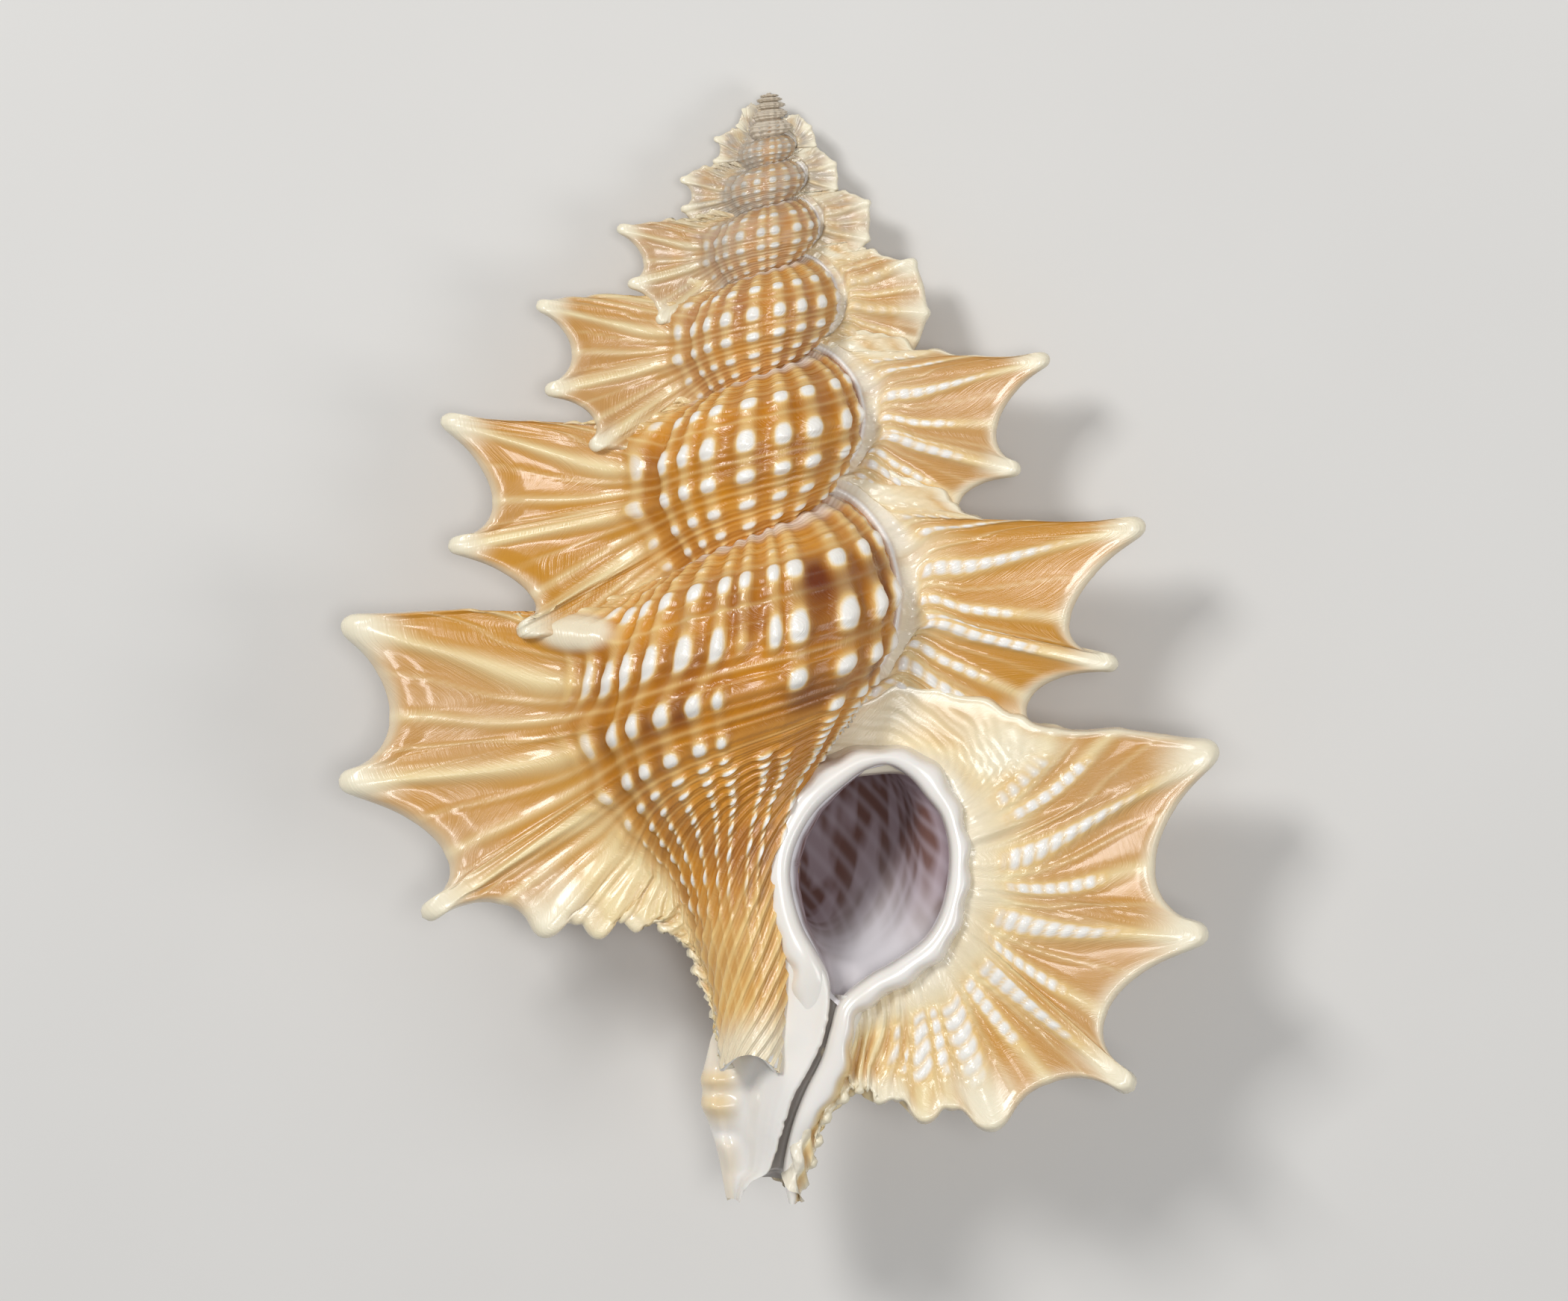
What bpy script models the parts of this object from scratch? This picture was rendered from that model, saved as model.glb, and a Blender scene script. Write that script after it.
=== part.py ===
# Maple leaf triton shell: one spiral shell, grown in one piece, lying on its back.
# The spire points along +Y, the mouth looks up along +Z, and +X is the mouth's side.
# The shell grows by half turns. Each half turn is a length of tube that ends in a varix:
# a flat wing, drawn out into spines. Left and right wings take turns. A half turn is made
# as if its wing were on the right, and every second one is then turned to the left.
# Every length below is in millimetres; MM turns it into metres as a point is made.

import math

import bmesh
import bpy
from mathutils import Matrix, Vector

MM = 0.001

# Growth law, by n: the number of half turns back from the newest varix
SUTURE_DOWN = 36.0            # apex to the top of the newest half turn, along the axis
SUTURE_RATIO = 0.803          # axial shrink for each half turn back
TUBE_RADIUS = 10.9            # axis to the outside of the newest half turn
RADIUS_RATIO = 0.848          # radial shrink for each half turn back
STAGES = 14                   # half turns that carry a wing
LAP = 0.011                   # how far a half turn starts inside the one before it
NUCLEUS = [                   # first turns at the apex: (down, radius)
    (0.05, 0.20), (0.22, 0.45), (0.55, 0.62), (0.90, 0.60), (1.10, 0.56), (1.35, 0.80),
    (1.80, 0.98), (2.40, 0.90), (3.20, 0.50),
]

# Whorl outline at one growth stage: u along it, then shares of radius and of suture depth
WHORL_OUTLINE = [
    (0.00, 0.350, 1.000), (0.08, 0.550, 1.010), (0.16, 0.740, 1.052), (0.26, 0.905, 1.128),
    (0.36, 0.985, 1.212), (0.46, 1.000, 1.292), (0.56, 0.955, 1.372), (0.66, 0.840, 1.452),
    (0.74, 0.690, 1.528), (0.82, 0.520, 1.612), (0.90, 0.390, 1.700), (1.00, 0.300, 1.820),
]
CORE_SHARE = 0.08             # inner side of every half turn, buried in the columella
COLUMELLA_RADIUS = 1.45       # at the depth of SUTURE_DOWN
COLUMELLA_LEVELS = (1.6, 4.0, 8.0, 14.0, 22.0, 32.0, 42.0, 50.0)

# Beaded sculpture: ribs run down the whorl, cords run round it, beads stand where they cross
CORDS = [0.23, 0.345, 0.48, 0.585, 0.67, 0.75, 0.81]
CORD_LIFT = [0.14, 0.42, 0.40, 0.36, 0.28, 0.20, 0.14]
CORD_WIDTH = 0.026
RIBS_PER_STAGE = [11, 11, 10, 10, 9, 9]
RIB_LIFT = 0.26
BEADS_FROM, BEADS_FULL = 0.10, 0.20       # places on the outline where the beads rise
BEADS_SINK, BEADS_TO = 0.77, 0.92         # and where they run out

# Flare of the tube into the wing: share of the way to the edge, height behind the wing
FLARE_TURN = math.radians(25.0)
FLARE = [(0.075, 2.95), (0.15, 2.05), (0.29, 1.22), (0.55, 0.72), (0.80, 0.56)]
WING_FACE = [1.0, 0.93, 0.5, 0.2]         # shares of the way out, read back to the whorl
WING_THICKNESS = 1.15
SPINE_THICKNESS = 1.45
SPINE_SPREAD = 0.045          # half width of a thickened spine, as a length of u
THINNEST_WING = 0.4           # share of WING_THICKNESS that the smallest wings keep
RIM_STEPS = [(1.60, 0.55), (1.25, 1.25), (0.80, 1.12)]   # old mouth rim: outset, height
RIM_END = 0.74                # place on the outline where the old rim runs out
RIM_FADE = 0.12

# Wing edges, newest first: corners are (u, out from the axis, down from the apex, lift
# towards the mouth's side) and the point midway between two corners is (out, down)
WINGS = [
    ([(0.00, 4.8, 37.4, 0.0), (0.10, 13.3, 35.7, 0.0), (0.16, 17.3, 37.4, 0.0),
      (0.30, 26.8, 37.8, -0.4), (0.48, 26.5, 48.5, 0.5), (0.62, 22.4, 57.5, 1.1),
      (0.72, 14.2, 59.8, 1.3), (0.78, 10.3, 59.1, 1.1), (0.83, 7.8, 58.1, 0.9),
      (0.87, 6.5, 57.5, 0.8), (0.91, 5.2, 58.0, 0.6), (0.95, 3.4, 61.6, -0.2),
      (1.00, 2.8, 64.9, -1.3)],
     [(8.2, 34.8), (15.6, 36.4), (21.8, 36.9), (23.2, 44.6), (20.6, 53.0), (17.8, 57.0),
      (12.0, 58.6), (9.0, 58.2), (7.1, 57.4), (5.9, 57.3), (4.0, 59.8), (3.1, 63.2)]),
    ([(0.00, 5.9, 28.9, 0.0), (0.10, 10.6, 31.2, 0.0), (0.16, 14.4, 31.7, 0.0),
      (0.30, 24.2, 31.6, 0.0), (0.48, 24.2, 40.8, 0.0), (0.62, 19.2, 48.5, -0.1),
      (0.72, 12.1, 49.1, 0.0), (0.78, 9.0, 48.9, 0.0), (0.83, 6.9, 48.5, 0.0),
      (0.87, 5.0, 48.5, 0.0), (0.93, 2.7, 51.4, 0.0), (1.00, 1.7, 55.0, 0.0)],
     [(8.3, 30.6), (12.6, 31.0), (18.0, 30.8), (21.2, 37.0), (17.9, 44.6), (15.0, 47.5),
      (10.4, 48.4), (7.8, 48.2), (5.9, 48.0), (3.6, 49.6), (2.1, 53.0)]),
    ([(0.00, 4.8, 23.6, 0.0), (0.10, 10.5, 23.5, 0.0), (0.16, 12.4, 25.2, 0.4),
      (0.32, 22.2, 24.8, 1.4), (0.52, 20.9, 32.9, 0.8), (0.66, 16.3, 37.5, -0.2),
      (0.84, 6.0, 39.0, -0.8)],
     [(7.4, 22.4), (11.4, 24.2), (16.6, 24.9), (17.9, 30.4), (16.1, 34.6), (11.0, 38.2)]),
    ([(0.00, 5.2, 18.3, 0.0), (0.12, 10.2, 20.4, 0.0), (0.32, 18.6, 19.6, -0.7),
      (0.52, 18.1, 26.9, -0.4), (0.68, 13.9, 31.9, -0.3), (0.84, 5.0, 32.6, -0.7)],
     [(8.0, 19.2), (13.4, 19.8), (15.5, 24.3), (13.2, 29.6), (9.5, 32.4)]),
    ([(0.00, 3.6, 15.6, 0.0), (0.12, 8.8, 15.3, 0.3), (0.32, 16.4, 15.3, 1.1),
      (0.52, 14.9, 21.8, 0.6), (0.66, 12.0, 25.0, -0.1), (0.84, 4.5, 26.2, -0.6)],
     [(6.2, 14.2), (12.2, 15.4), (13.5, 19.2), (11.7, 23.3), (8.4, 25.8)]),
    ([(0.00, 4.2, 11.4, 0.0), (0.12, 9.0, 12.8, 0.5), (0.32, 13.1, 12.9, -1.2),
      (0.52, 12.6, 17.8, -0.6), (0.66, 9.9, 21.0, -0.3), (0.84, 4.0, 22.0, -0.6)],
     [(7.0, 12.3), (11.4, 12.5), (11.1, 15.6), (9.9, 19.2), (7.2, 21.4)]),
    ([(0.00, 2.7, 10.4, 0.0), (0.12, 5.6, 9.2, 0.0), (0.32, 8.5, 9.9, 0.2),
      (0.52, 9.3, 12.8, 0.2), (0.66, 8.4, 15.2, -0.1), (0.84, 3.2, 17.2, -0.4)],
     [(4.2, 9.0), (7.0, 9.7), (9.1, 11.3), (9.0, 14.2), (6.0, 16.4)]),
    ([(0.00, 3.2, 7.3, 0.0), (0.12, 5.1, 8.0, 0.0), (0.32, 8.6, 8.3, -0.2),
      (0.52, 7.9, 11.5, -0.1), (0.66, 6.2, 13.6, -0.2), (0.84, 2.6, 14.4, -0.4)],
     [(4.2, 7.7), (6.8, 8.0), (7.1, 10.2), (6.5, 12.6), (4.6, 14.1)]),
    ([(0.00, 2.1, 6.3, 0.0), (0.12, 4.0, 6.0, 0.0), (0.32, 5.8, 6.5, 0.1),
      (0.52, 5.8, 8.6, 0.1), (0.84, 2.0, 11.0, 0.0)],
     [(3.1, 6.0), (5.0, 6.1), (5.9, 7.5), (4.6, 10.0)]),
    ([(0.00, 2.1, 4.4, 0.0), (0.12, 3.3, 4.7, 0.0), (0.32, 5.0, 5.4, 0.0),
      (0.52, 4.9, 7.1, 0.0), (0.84, 1.7, 9.2, 0.0)],
     [(2.8, 4.5), (4.3, 4.9), (4.4, 6.3), (3.9, 8.2)]),
    ([(0.00, 1.5, 3.7, 0.0), (0.32, 3.8, 4.3, 0.0), (0.52, 3.9, 5.7, 0.0),
      (0.84, 1.3, 7.2, 0.0)],
     [(2.7, 3.5), (4.0, 5.0), (3.1, 6.6)]),
    ([(0.00, 1.3, 2.5, 0.0), (0.32, 3.1, 3.0, 0.0), (0.52, 3.1, 4.3, 0.0),
      (0.84, 1.1, 5.7, 0.0)],
     [(2.1, 2.5), (2.8, 3.6), (2.5, 5.1)]),
    ([(0.00, 0.9, 1.8, 0.0), (0.32, 2.3, 2.2, 0.0), (0.52, 2.6, 3.2, 0.0),
      (0.84, 0.8, 4.4, 0.0)],
     [(1.6, 1.6), (2.6, 2.7), (2.0, 4.0)]),
    ([(0.00, 0.7, 1.2, 0.0), (0.32, 1.5, 1.3, 0.0), (0.52, 1.8, 2.2, 0.0),
      (0.84, 0.6, 3.4, 0.0)],
     [(1.1, 1.0), (1.7, 1.8), (1.4, 3.0)]),
]
WING_STEPS = [4, 4, 4, 4, 3, 3, 3, 3, 2, 2, 2, 2, 2, 2]
TUBE_STEPS = [20, 20, 18, 18, 16, 16, 9, 9, 7, 7, 6, 6, 5, 5]

# Mouth: an ellipse, placed by (out, down), with a raised lip round it
MOUTH_CENTRE = (6.9, 45.4)
MOUTH_SIZE = (4.7, 6.3)       # half width, half length
MOUTH_LEAN = math.radians(8.0)
LIP_WIDTH = 1.0
LIP_TOP = 2.4
LIP_SLOPE = 0.12              # rise of the lip's top towards the axis
LIP_STEPS = [(0.0, -0.6), (0.0, 0.75), (-0.3, 1.0)]      # growth in width, share of height
MOUTH_STRAIGHT = (9.0, 0.8)   # heights between which the hollow runs straight in
MOUTH_DEPTH = 0.62            # how far the hollow is then carried back, in half turns
MOUTH_STEPS = 8
BORE_CENTRE = (0.585, 1.265)  # shares of the tube's radius and suture depth
BORE_SIZE = (0.345, 0.165)
BORE_END = 0.6                # narrowing of the hollow's far end

# Canals and lip: (down, centre out, centre lift, half width, depth behind, depth in front)
OLD_CANAL = [
    (40.0, -0.9, 0.0, 4.0, 4.9, 4.9), (44.0, -0.8, 0.1, 3.4, 4.2, 4.2),
    (47.0, -0.6, 0.3, 3.0, 3.7, 3.7), (50.0, -0.2, 0.6, 2.8, 3.2, 3.2),
    (53.0, 0.1, 1.0, 2.2, 2.4, 2.4), (57.0, 0.0, 1.6, 1.6, 1.5, 1.5),
]
NEW_CANAL = [
    (42.0, 2.0, -0.2, 5.0, 6.4, 1.5), (46.0, 1.9, -0.3, 4.6, 5.3, 1.5),
    (50.0, 1.7, -0.4, 4.1, 4.4, 1.4), (52.7, 1.6, -0.6, 3.2, 3.5, 1.5),
    (55.0, 1.4, -1.0, 3.3, 3.1, 1.9), (57.5, 1.25, -1.6, 3.6, 2.9, 2.4),
    (59.5, 1.0, -2.2, 3.2, 2.8, 2.4), (62.0, 1.0, -2.9, 2.45, 2.6, 2.3),
    (64.9, 0.95, -3.7, 1.8, 2.4, 2.4),
]
INNER_LIP = [
    (50.0, 2.7, 2.2, 0.9, 1.2, 1.2), (52.0, 3.3, 2.0, 0.9, 1.1, 1.1),
    (54.0, 3.2, 1.6, 1.1, 1.1, 1.1), (56.5, 2.6, 1.1, 1.2, 1.1, 1.1),
    (59.0, 1.5, 0.5, 1.2, 1.2, 1.1), (61.0, 1.0, -0.3, 1.0, 1.2, 1.0),
    (63.2, 0.5, -1.3, 0.7, 1.0, 0.8),
]
CANAL_TURNS = [NEW_CANAL, OLD_CANAL]      # by stage
OLD_CANAL_TOP, NEW_CANAL_TOP = 46.0, 51.0
OLD_CANAL_INSET, NEW_CANAL_INSET = 0.92, 0.96
TAIL_START = 0.76             # place on the whorl outline where the neck takes over
TAIL_BLEND = 0.45
CANAL_NOTCH = 1.1             # rise of the canal's end between its two side tips
GUTTER = [
    (49.5, 5.2, 0.8, 0.9, 1.6, 1.6), (53.0, 4.0, -0.2, 0.8, 1.6, 1.6),
    (57.0, 2.9, -1.2, 0.9, 1.5, 1.5), (61.0, 1.7, -2.5, 1.1, 1.7, 1.7),
    (66.0, 0.95, -3.8, 1.35, 2.0, 2.0),
]
SLIT_TOP = 7.0
SLIT = [                      # (down, centre out, half width)
    (50.0, 4.6, 0.35), (53.9, 4.3, 0.35), (56.4, 3.9, 0.40), (58.6, 3.2, 0.45),
    (61.0, 2.4, 0.50), (63.4, 1.9, 0.60), (66.0, 1.6, 0.70),
]

# One skin over all that has grown
SKIN_GRAIN = 0.22             # smallest detail that the fused skin keeps
TRIANGLE_LIMIT = 9600

# How it lies: rolled about its long axis, tipped apex down, then moved so that the middle of
# its footprint is at the origin. The lowest beads are worn flat where they touch the table.
REST_ROLL = math.radians(0.35)
REST_PITCH = math.radians(-12.25)
APEX_PLACE = (-1.325, 32.136, 1.737)

# Finish
SHELL_COLOUR = (0.60, 0.31, 0.12, 1.0)
SHELL_ROUGHNESS = 0.28
CREASE_ANGLE = math.radians(40.0)
WEAR_BLOCK = 90.0             # side of the block that stands for the table


def smooth(knots, where):
    """Value of a smooth curve through knots (place, value, ...) at one place."""
    last = len(knots) - 1
    where = min(max(where, knots[0][0]), knots[last][0])
    i = 0
    while i < last - 1 and where > knots[i + 1][0]:
        i += 1
    span = knots[i + 1][0] - knots[i][0]
    t = (where - knots[i][0]) / span
    result = []
    for c in range(1, len(knots[0])):
        slopes = []
        for j in (i, i + 1):
            a, b = max(j - 1, 0), min(j + 1, last)
            slopes.append((knots[b][c] - knots[a][c]) / (knots[b][0] - knots[a][0]) * span)
        p, q = knots[i][c], knots[i + 1][c]
        result.append(p * (2 * t ** 3 - 3 * t ** 2 + 1) + slopes[0] * (t ** 3 - 2 * t ** 2 + t)
                      + q * (3 * t ** 2 - 2 * t ** 3) + slopes[1] * (t ** 3 - t ** 2))
    return result


def whorl_outline(n, u):
    """Radius and depth of the whorl surface at growth n, place u."""
    share, depth = smooth(WHORL_OUTLINE, u)
    return share * TUBE_RADIUS * RADIUS_RATIO ** n, depth * SUTURE_DOWN * SUTURE_RATIO ** n


def whorl_place(stage, n, u, raised=0.0):
    """Point (out, down, lift) of the whorl at growth n, place u, seen from its next varix."""
    radius, down = whorl_outline(n, u)
    turn = -math.pi * (n - stage)
    if stage >= len(CANAL_TURNS) or u <= TAIL_START:
        radius += raised
        return radius * math.cos(turn), down, radius * math.sin(turn)
    canal = CANAL_TURNS[stage]
    side = 1.0 if stage % 2 == 0 else -1.0
    share = (u - TAIL_START) / (1.0 - TAIL_START)
    start = whorl_outline(n, TAIL_START)[1]
    canal_down = start + (canal[-1][0] - start) * share
    out, lift, wide, deep = smooth(canal, canal_down)[:4]
    if stage == 0:
        canal_down -= CANAL_NOTCH * math.sin(turn) ** 2 * share ** 6
    blend = min(1.0, share / TAIL_BLEND)
    blend = blend * blend * (3 - 2 * blend)
    down += (canal_down - down) * blend
    spread = radius + (wide - radius) * blend + raised
    rise = radius + (deep - radius) * blend + raised
    return (spread * math.cos(turn) + side * out * blend, down,
            rise * math.sin(turn) + side * lift * blend)


def core_place(stage, n, u, last_u, lift=0.0):
    """Point on the inner side of a half turn, hidden in the columella or the canal."""
    turn = -math.pi * (n - stage)
    top = SUTURE_DOWN * SUTURE_RATIO ** n * 1.02
    bottom = whorl_place(stage, n, last_u)[1]
    down = top + (bottom - top) * u / last_u
    radius = CORE_SHARE * TUBE_RADIUS * RADIUS_RATIO ** n
    out, high = radius * math.cos(turn), radius * math.sin(turn)
    if stage < len(CANAL_TURNS):
        canal = CANAL_TURNS[stage]
        side = 1.0 if stage % 2 == 0 else -1.0
        centre = smooth(canal, down)
        share = min(1.0, max(0.0, (down - canal[0][0]) / (canal[2][0] - canal[0][0])))
        out += side * centre[0] * share
        high += side * centre[1] * share
    return out, down, high + lift


def beads(stage, n, u):
    """Height of the beaded ribs and cords above the whorl, in millimetres."""
    if stage >= len(RIBS_PER_STAGE):
        return 0.0
    scale = RADIUS_RATIO ** n
    cord = 0.0
    for place, lift in zip(CORDS, CORD_LIFT):
        cord = max(cord, lift * math.exp(-((u - place) / CORD_WIDTH) ** 2))
    rib = 0.5 + 0.5 * math.cos(2 * math.pi * RIBS_PER_STAGE[stage] * (n - stage))
    rise = min(1.0, max(0.0, (u - BEADS_FROM) / (BEADS_FULL - BEADS_FROM)))
    sink = min(1.0, max(0.0, (BEADS_TO - u) / (BEADS_TO - BEADS_SINK)))
    return scale * rise * sink * (RIB_LIFT * rib + cord * (0.25 + 0.75 * rib))


def wing_edge(stage, u):
    """Out, down and lift of the wing's edge at place u: a scallop between two corners."""
    corners, middles = WINGS[stage]
    i = 0
    while i < len(middles) - 1 and u > corners[i + 1][0]:
        i += 1
    a, m, b = corners[i], middles[i], corners[i + 1]
    t = (u - a[0]) / (b[0] - a[0])
    weights = (2 * (t - 0.5) * (t - 1), -4 * t * (t - 1), 2 * t * (t - 0.5))
    out = weights[0] * a[1] + weights[1] * m[0] + weights[2] * b[1]
    down = weights[0] * a[2] + weights[1] * m[1] + weights[2] * b[2]
    return out, down, a[3] + (b[3] - a[3]) * t


def spine_share(stage, u):
    """One at a spine's tip, falling to nought midway between two spines."""
    corners = WINGS[stage][0]
    gaps = [abs(u - c[0]) for c in corners[2:-1]]
    return max(0.0, 1.0 - min(gaps) / SPINE_SPREAD)


def place_columns(stage):
    """The u of each growth line of a stage, denser where the wing's edge has small teeth."""
    corners = WINGS[stage][0]
    columns = [corners[0][0]]
    for a, b in zip(corners, corners[1:]):
        steps = WING_STEPS[stage] if b[0] - a[0] > 0.055 else 2
        columns += [a[0] + (b[0] - a[0]) * (s + 1) / steps for s in range(steps)]
    return columns


def local_point(out, down, lift):
    return Vector((out, -down, lift)) * MM


def tube_rings(stage, columns):
    """Rings of the half turn, from just after the last varix to the foot of the next wing."""
    start, end = stage + 1 - LAP, stage + FLARE_TURN / math.pi
    rings = []
    for i in range(TUBE_STEPS[stage]):
        n = start + (end - start) * i / (TUBE_STEPS[stage] - 1)
        outer = [local_point(*whorl_place(stage, n, u, beads(stage, n, u))) for u in columns]
        inner = [local_point(*core_place(stage, n, u, columns[-1])) for u in columns]
        rings.append((outer, inner))
    return rings


def wing_rings(stage, columns):
    """Rings up the back of the wing, over its edge, and down its face to the old mouth rim."""
    scale = RADIUS_RATIO ** stage
    foot = stage + FLARE_TURN / math.pi
    half = WING_THICKNESS / 2
    back = [(share, -height, True) for share, height in FLARE] + [(1.0, -half, True)]
    front = [(share, half, False) for share in WING_FACE]
    rings = []
    for share, height, behind in back + front:
        outer, inner = [], []
        for u in columns:
            foot_out, foot_down, foot_lift = whorl_place(stage, foot, u)
            edge_out, edge_down, lift = wing_edge(stage, u)
            swell = 1.0 + (SPINE_THICKNESS / WING_THICKNESS - 1.0) * spine_share(stage, u)
            skin = half * (THINNEST_WING + (1.0 - THINNEST_WING) * scale) * swell
            high = skin
            if behind:
                bulk = -foot_lift / (TUBE_RADIUS * scale * math.sin(FLARE_TURN))
                high = min(height * scale * bulk, -skin)
            outer.append(local_point(foot_out + (edge_out - foot_out) * share,
                                     foot_down + (edge_down - foot_down) * share,
                                     high + lift * share ** 2))
            inner.append(local_point(*core_place(stage, stage, u, columns[-1], high * 0.2)))
        rings.append((outer, inner))
    return rings


def rim_rings(stage, columns):
    """The old mouth rim: a low wall round the place where the next half turn comes out."""
    scale = RADIUS_RATIO ** stage
    rings = []
    for outset, height in RIM_STEPS:
        outer, inner = [], []
        for u in columns:
            out, down, lift = whorl_place(stage, stage, u)
            before = whorl_outline(stage, max(u - 0.01, 0.0))
            after = whorl_outline(stage, min(u + 0.01, 1.0))
            run = Vector((after[0] - before[0], after[1] - before[1])).normalized()
            fade = min(1.0, max(-0.2, (RIM_END - u) / RIM_FADE))
            push = outset * scale * fade
            outer.append(local_point(out + run.y * push, down - run.x * push,
                                     height * scale * max(0.3, fade) + lift))
            inner.append(local_point(*core_place(stage, stage, u, columns[-1], height * scale)))
        rings.append((outer, inner))
    return rings


def half_turn_mesh(stage):
    """A closed mesh of one half turn with its wing."""
    columns = place_columns(stage)
    rings = tube_rings(stage, columns) + wing_rings(stage, columns)
    if stage > 0:
        rings += rim_rings(stage, columns)
    side = 1.0 if stage % 2 == 0 else -1.0
    loops = []
    for outer, inner in rings:
        loops.append([Vector((p.x * side, p.y, p.z * side)) for p in outer + inner[::-1]])
    return loft(loops, strips=True)


def loft(loops, strips=False):
    """A closed mesh through loops of points, capped by strips or by one face."""
    mesh = bpy.data.meshes.new("loft")
    work = bmesh.new()
    verts = [[work.verts.new(p) for p in loop] for loop in loops]
    count = len(loops[0])
    for a, b in zip(verts, verts[1:]):
        for j in range(count):
            k = (j + 1) % count
            work.faces.new((a[j], a[k], b[k], b[j]))
    for row in (verts[0], verts[-1]):
        if strips:
            for j in range(count // 2 - 1):
                work.faces.new((row[j], row[j + 1], row[count - 2 - j], row[count - 1 - j]))
        else:
            work.faces.new(row)
    bmesh.ops.triangulate(work, faces=work.faces[:])
    bmesh.ops.recalc_face_normals(work, faces=work.faces[:])
    work.to_mesh(mesh)
    work.free()
    return mesh


def ellipse_loop(centre, size, count, lean=0.0):
    """Points (out, down) of an ellipse, leaning in its own plane."""
    points = []
    for i in range(count):
        angle = 2 * math.pi * i / count
        a, b = size[0] * math.cos(angle), size[1] * math.sin(angle)
        points.append((centre[0] + a * math.cos(lean) - b * math.sin(lean),
                       centre[1] + a * math.sin(lean) + b * math.cos(lean)))
    return points


def canal_mesh(stations, top, levels, count, shrink, notch):
    """A tapering tube with level sections, unlike in depth behind and in front."""
    bottom = stations[-1][0]
    loops = []
    for i in range(levels):
        share = i / (levels - 1)
        out, lift, wide, behind, front = smooth(stations, top + (bottom - top) * share)
        loop = []
        for j in range(count):
            angle = 2 * math.pi * j / count
            down = top + (bottom - top) * share - notch * math.sin(angle) ** 2 * share ** 6
            deep = front if math.sin(angle) > 0.0 else behind
            loop.append(local_point(out + shrink * wide * math.cos(angle), down,
                                    lift + shrink * deep * math.sin(angle)))
        loops.append(loop)
    return loft(loops)


def slit_mesh():
    """The narrow gap that runs down the front of the canal."""
    loops = []
    for down, out, half in SLIT:
        back = smooth(GUTTER, down)[1]
        corners = [(-half, SLIT_TOP), (half, SLIT_TOP), (half, back), (-half, back)]
        loops.append([local_point(out + aside, down, lift) for aside, lift in corners])
    return loft(loops)


def columella_mesh():
    """The solid pillar round which the tube winds."""
    return loft([round_loop(COLUMELLA_RADIUS * (down / SUTURE_DOWN) ** 0.75, down, 12)
                 for down in COLUMELLA_LEVELS])


def round_loop(radius, down, count):
    """A level ring of points about the axis."""
    angles = [2 * math.pi * j / count for j in range(count)]
    return [local_point(radius * math.cos(a), down, radius * math.sin(a)) for a in angles]


def nucleus_mesh():
    """The smooth first turns of the shell at its apex."""
    return loft([round_loop(radius, down, 10) for down, radius in NUCLEUS])


def collar_mesh():
    """The thickened ring round the mouth, before the mouth is cut through it."""
    loops = []
    for grow, share in LIP_STEPS:
        size = (MOUTH_SIZE[0] + LIP_WIDTH + grow, MOUTH_SIZE[1] + LIP_WIDTH * 1.3 + grow)
        loop = []
        for out, down in ellipse_loop(MOUTH_CENTRE, size, 28, MOUTH_LEAN):
            top = LIP_TOP + LIP_SLOPE * (MOUTH_CENTRE[0] + size[0] - out)
            loop.append(local_point(out, down, top * share))
        loops.append(loop)
    return loft(loops)


def mouth_mesh():
    """The hollow of the mouth: straight in through the lip, then back round the spiral."""
    loops = []
    for lift in MOUTH_STRAIGHT:
        loops.append([local_point(out, down, lift)
                      for out, down in ellipse_loop(MOUTH_CENTRE, MOUTH_SIZE, 24, MOUTH_LEAN)])
    for i in range(1, MOUTH_STEPS + 1):
        n = MOUTH_DEPTH * i / MOUTH_STEPS
        turn = -math.pi * n
        radius, down = TUBE_RADIUS * RADIUS_RATIO ** n, SUTURE_DOWN * SUTURE_RATIO ** n
        tight = 1.0 if i < MOUTH_STEPS else BORE_END
        centre = (BORE_CENTRE[0] * radius, BORE_CENTRE[1] * down)
        size = (BORE_SIZE[0] * radius * tight, BORE_SIZE[1] * down * tight)
        loop = []
        for out, deep in ellipse_loop(centre, size, 24, MOUTH_LEAN):
            loop.append(local_point(out * math.cos(turn), deep, out * math.sin(turn)))
        loops.append(loop)
    return loft(loops)


def place(mesh, name, collection):
    thing = bpy.data.objects.new(name, mesh)
    collection.objects.link(thing)
    return thing


def combine(target, tool, operation):
    """Apply one Boolean step to the target's mesh.

    The lofts cross themselves near the axis, and the exact solver drops such pieces.
    """
    step = target.modifiers.new(operation.lower(), "BOOLEAN")
    step.operation = operation
    step.solver = "MANIFOLD"
    step.object = tool
    apply_modifier(target, step)


def fill_sealed_hollows(target):
    """Keep only the skin that holds the target's outermost point."""
    work = bmesh.new()
    work.from_mesh(target.data)
    skin = {max(work.verts, key=lambda v: v.co.x)}
    edge_of_walk = list(skin)
    while edge_of_walk:
        vert = edge_of_walk.pop()
        for edge in vert.link_edges:
            other = edge.other_vert(vert)
            if other not in skin:
                skin.add(other)
                edge_of_walk.append(other)
    bmesh.ops.delete(work, geom=[v for v in work.verts if v not in skin], context="VERTS")
    work.to_mesh(target.data)
    work.free()


def evaluated_mesh(target):
    depsgraph = bpy.context.evaluated_depsgraph_get()
    return bpy.data.meshes.new_from_object(target.evaluated_get(depsgraph))


def apply_modifier(target, step):
    """Put the modifier's result in the target's mesh and take the modifier off."""
    old = target.data
    mesh = evaluated_mesh(target)
    target.modifiers.remove(step)
    target.data = mesh
    bpy.data.meshes.remove(old)


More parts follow.
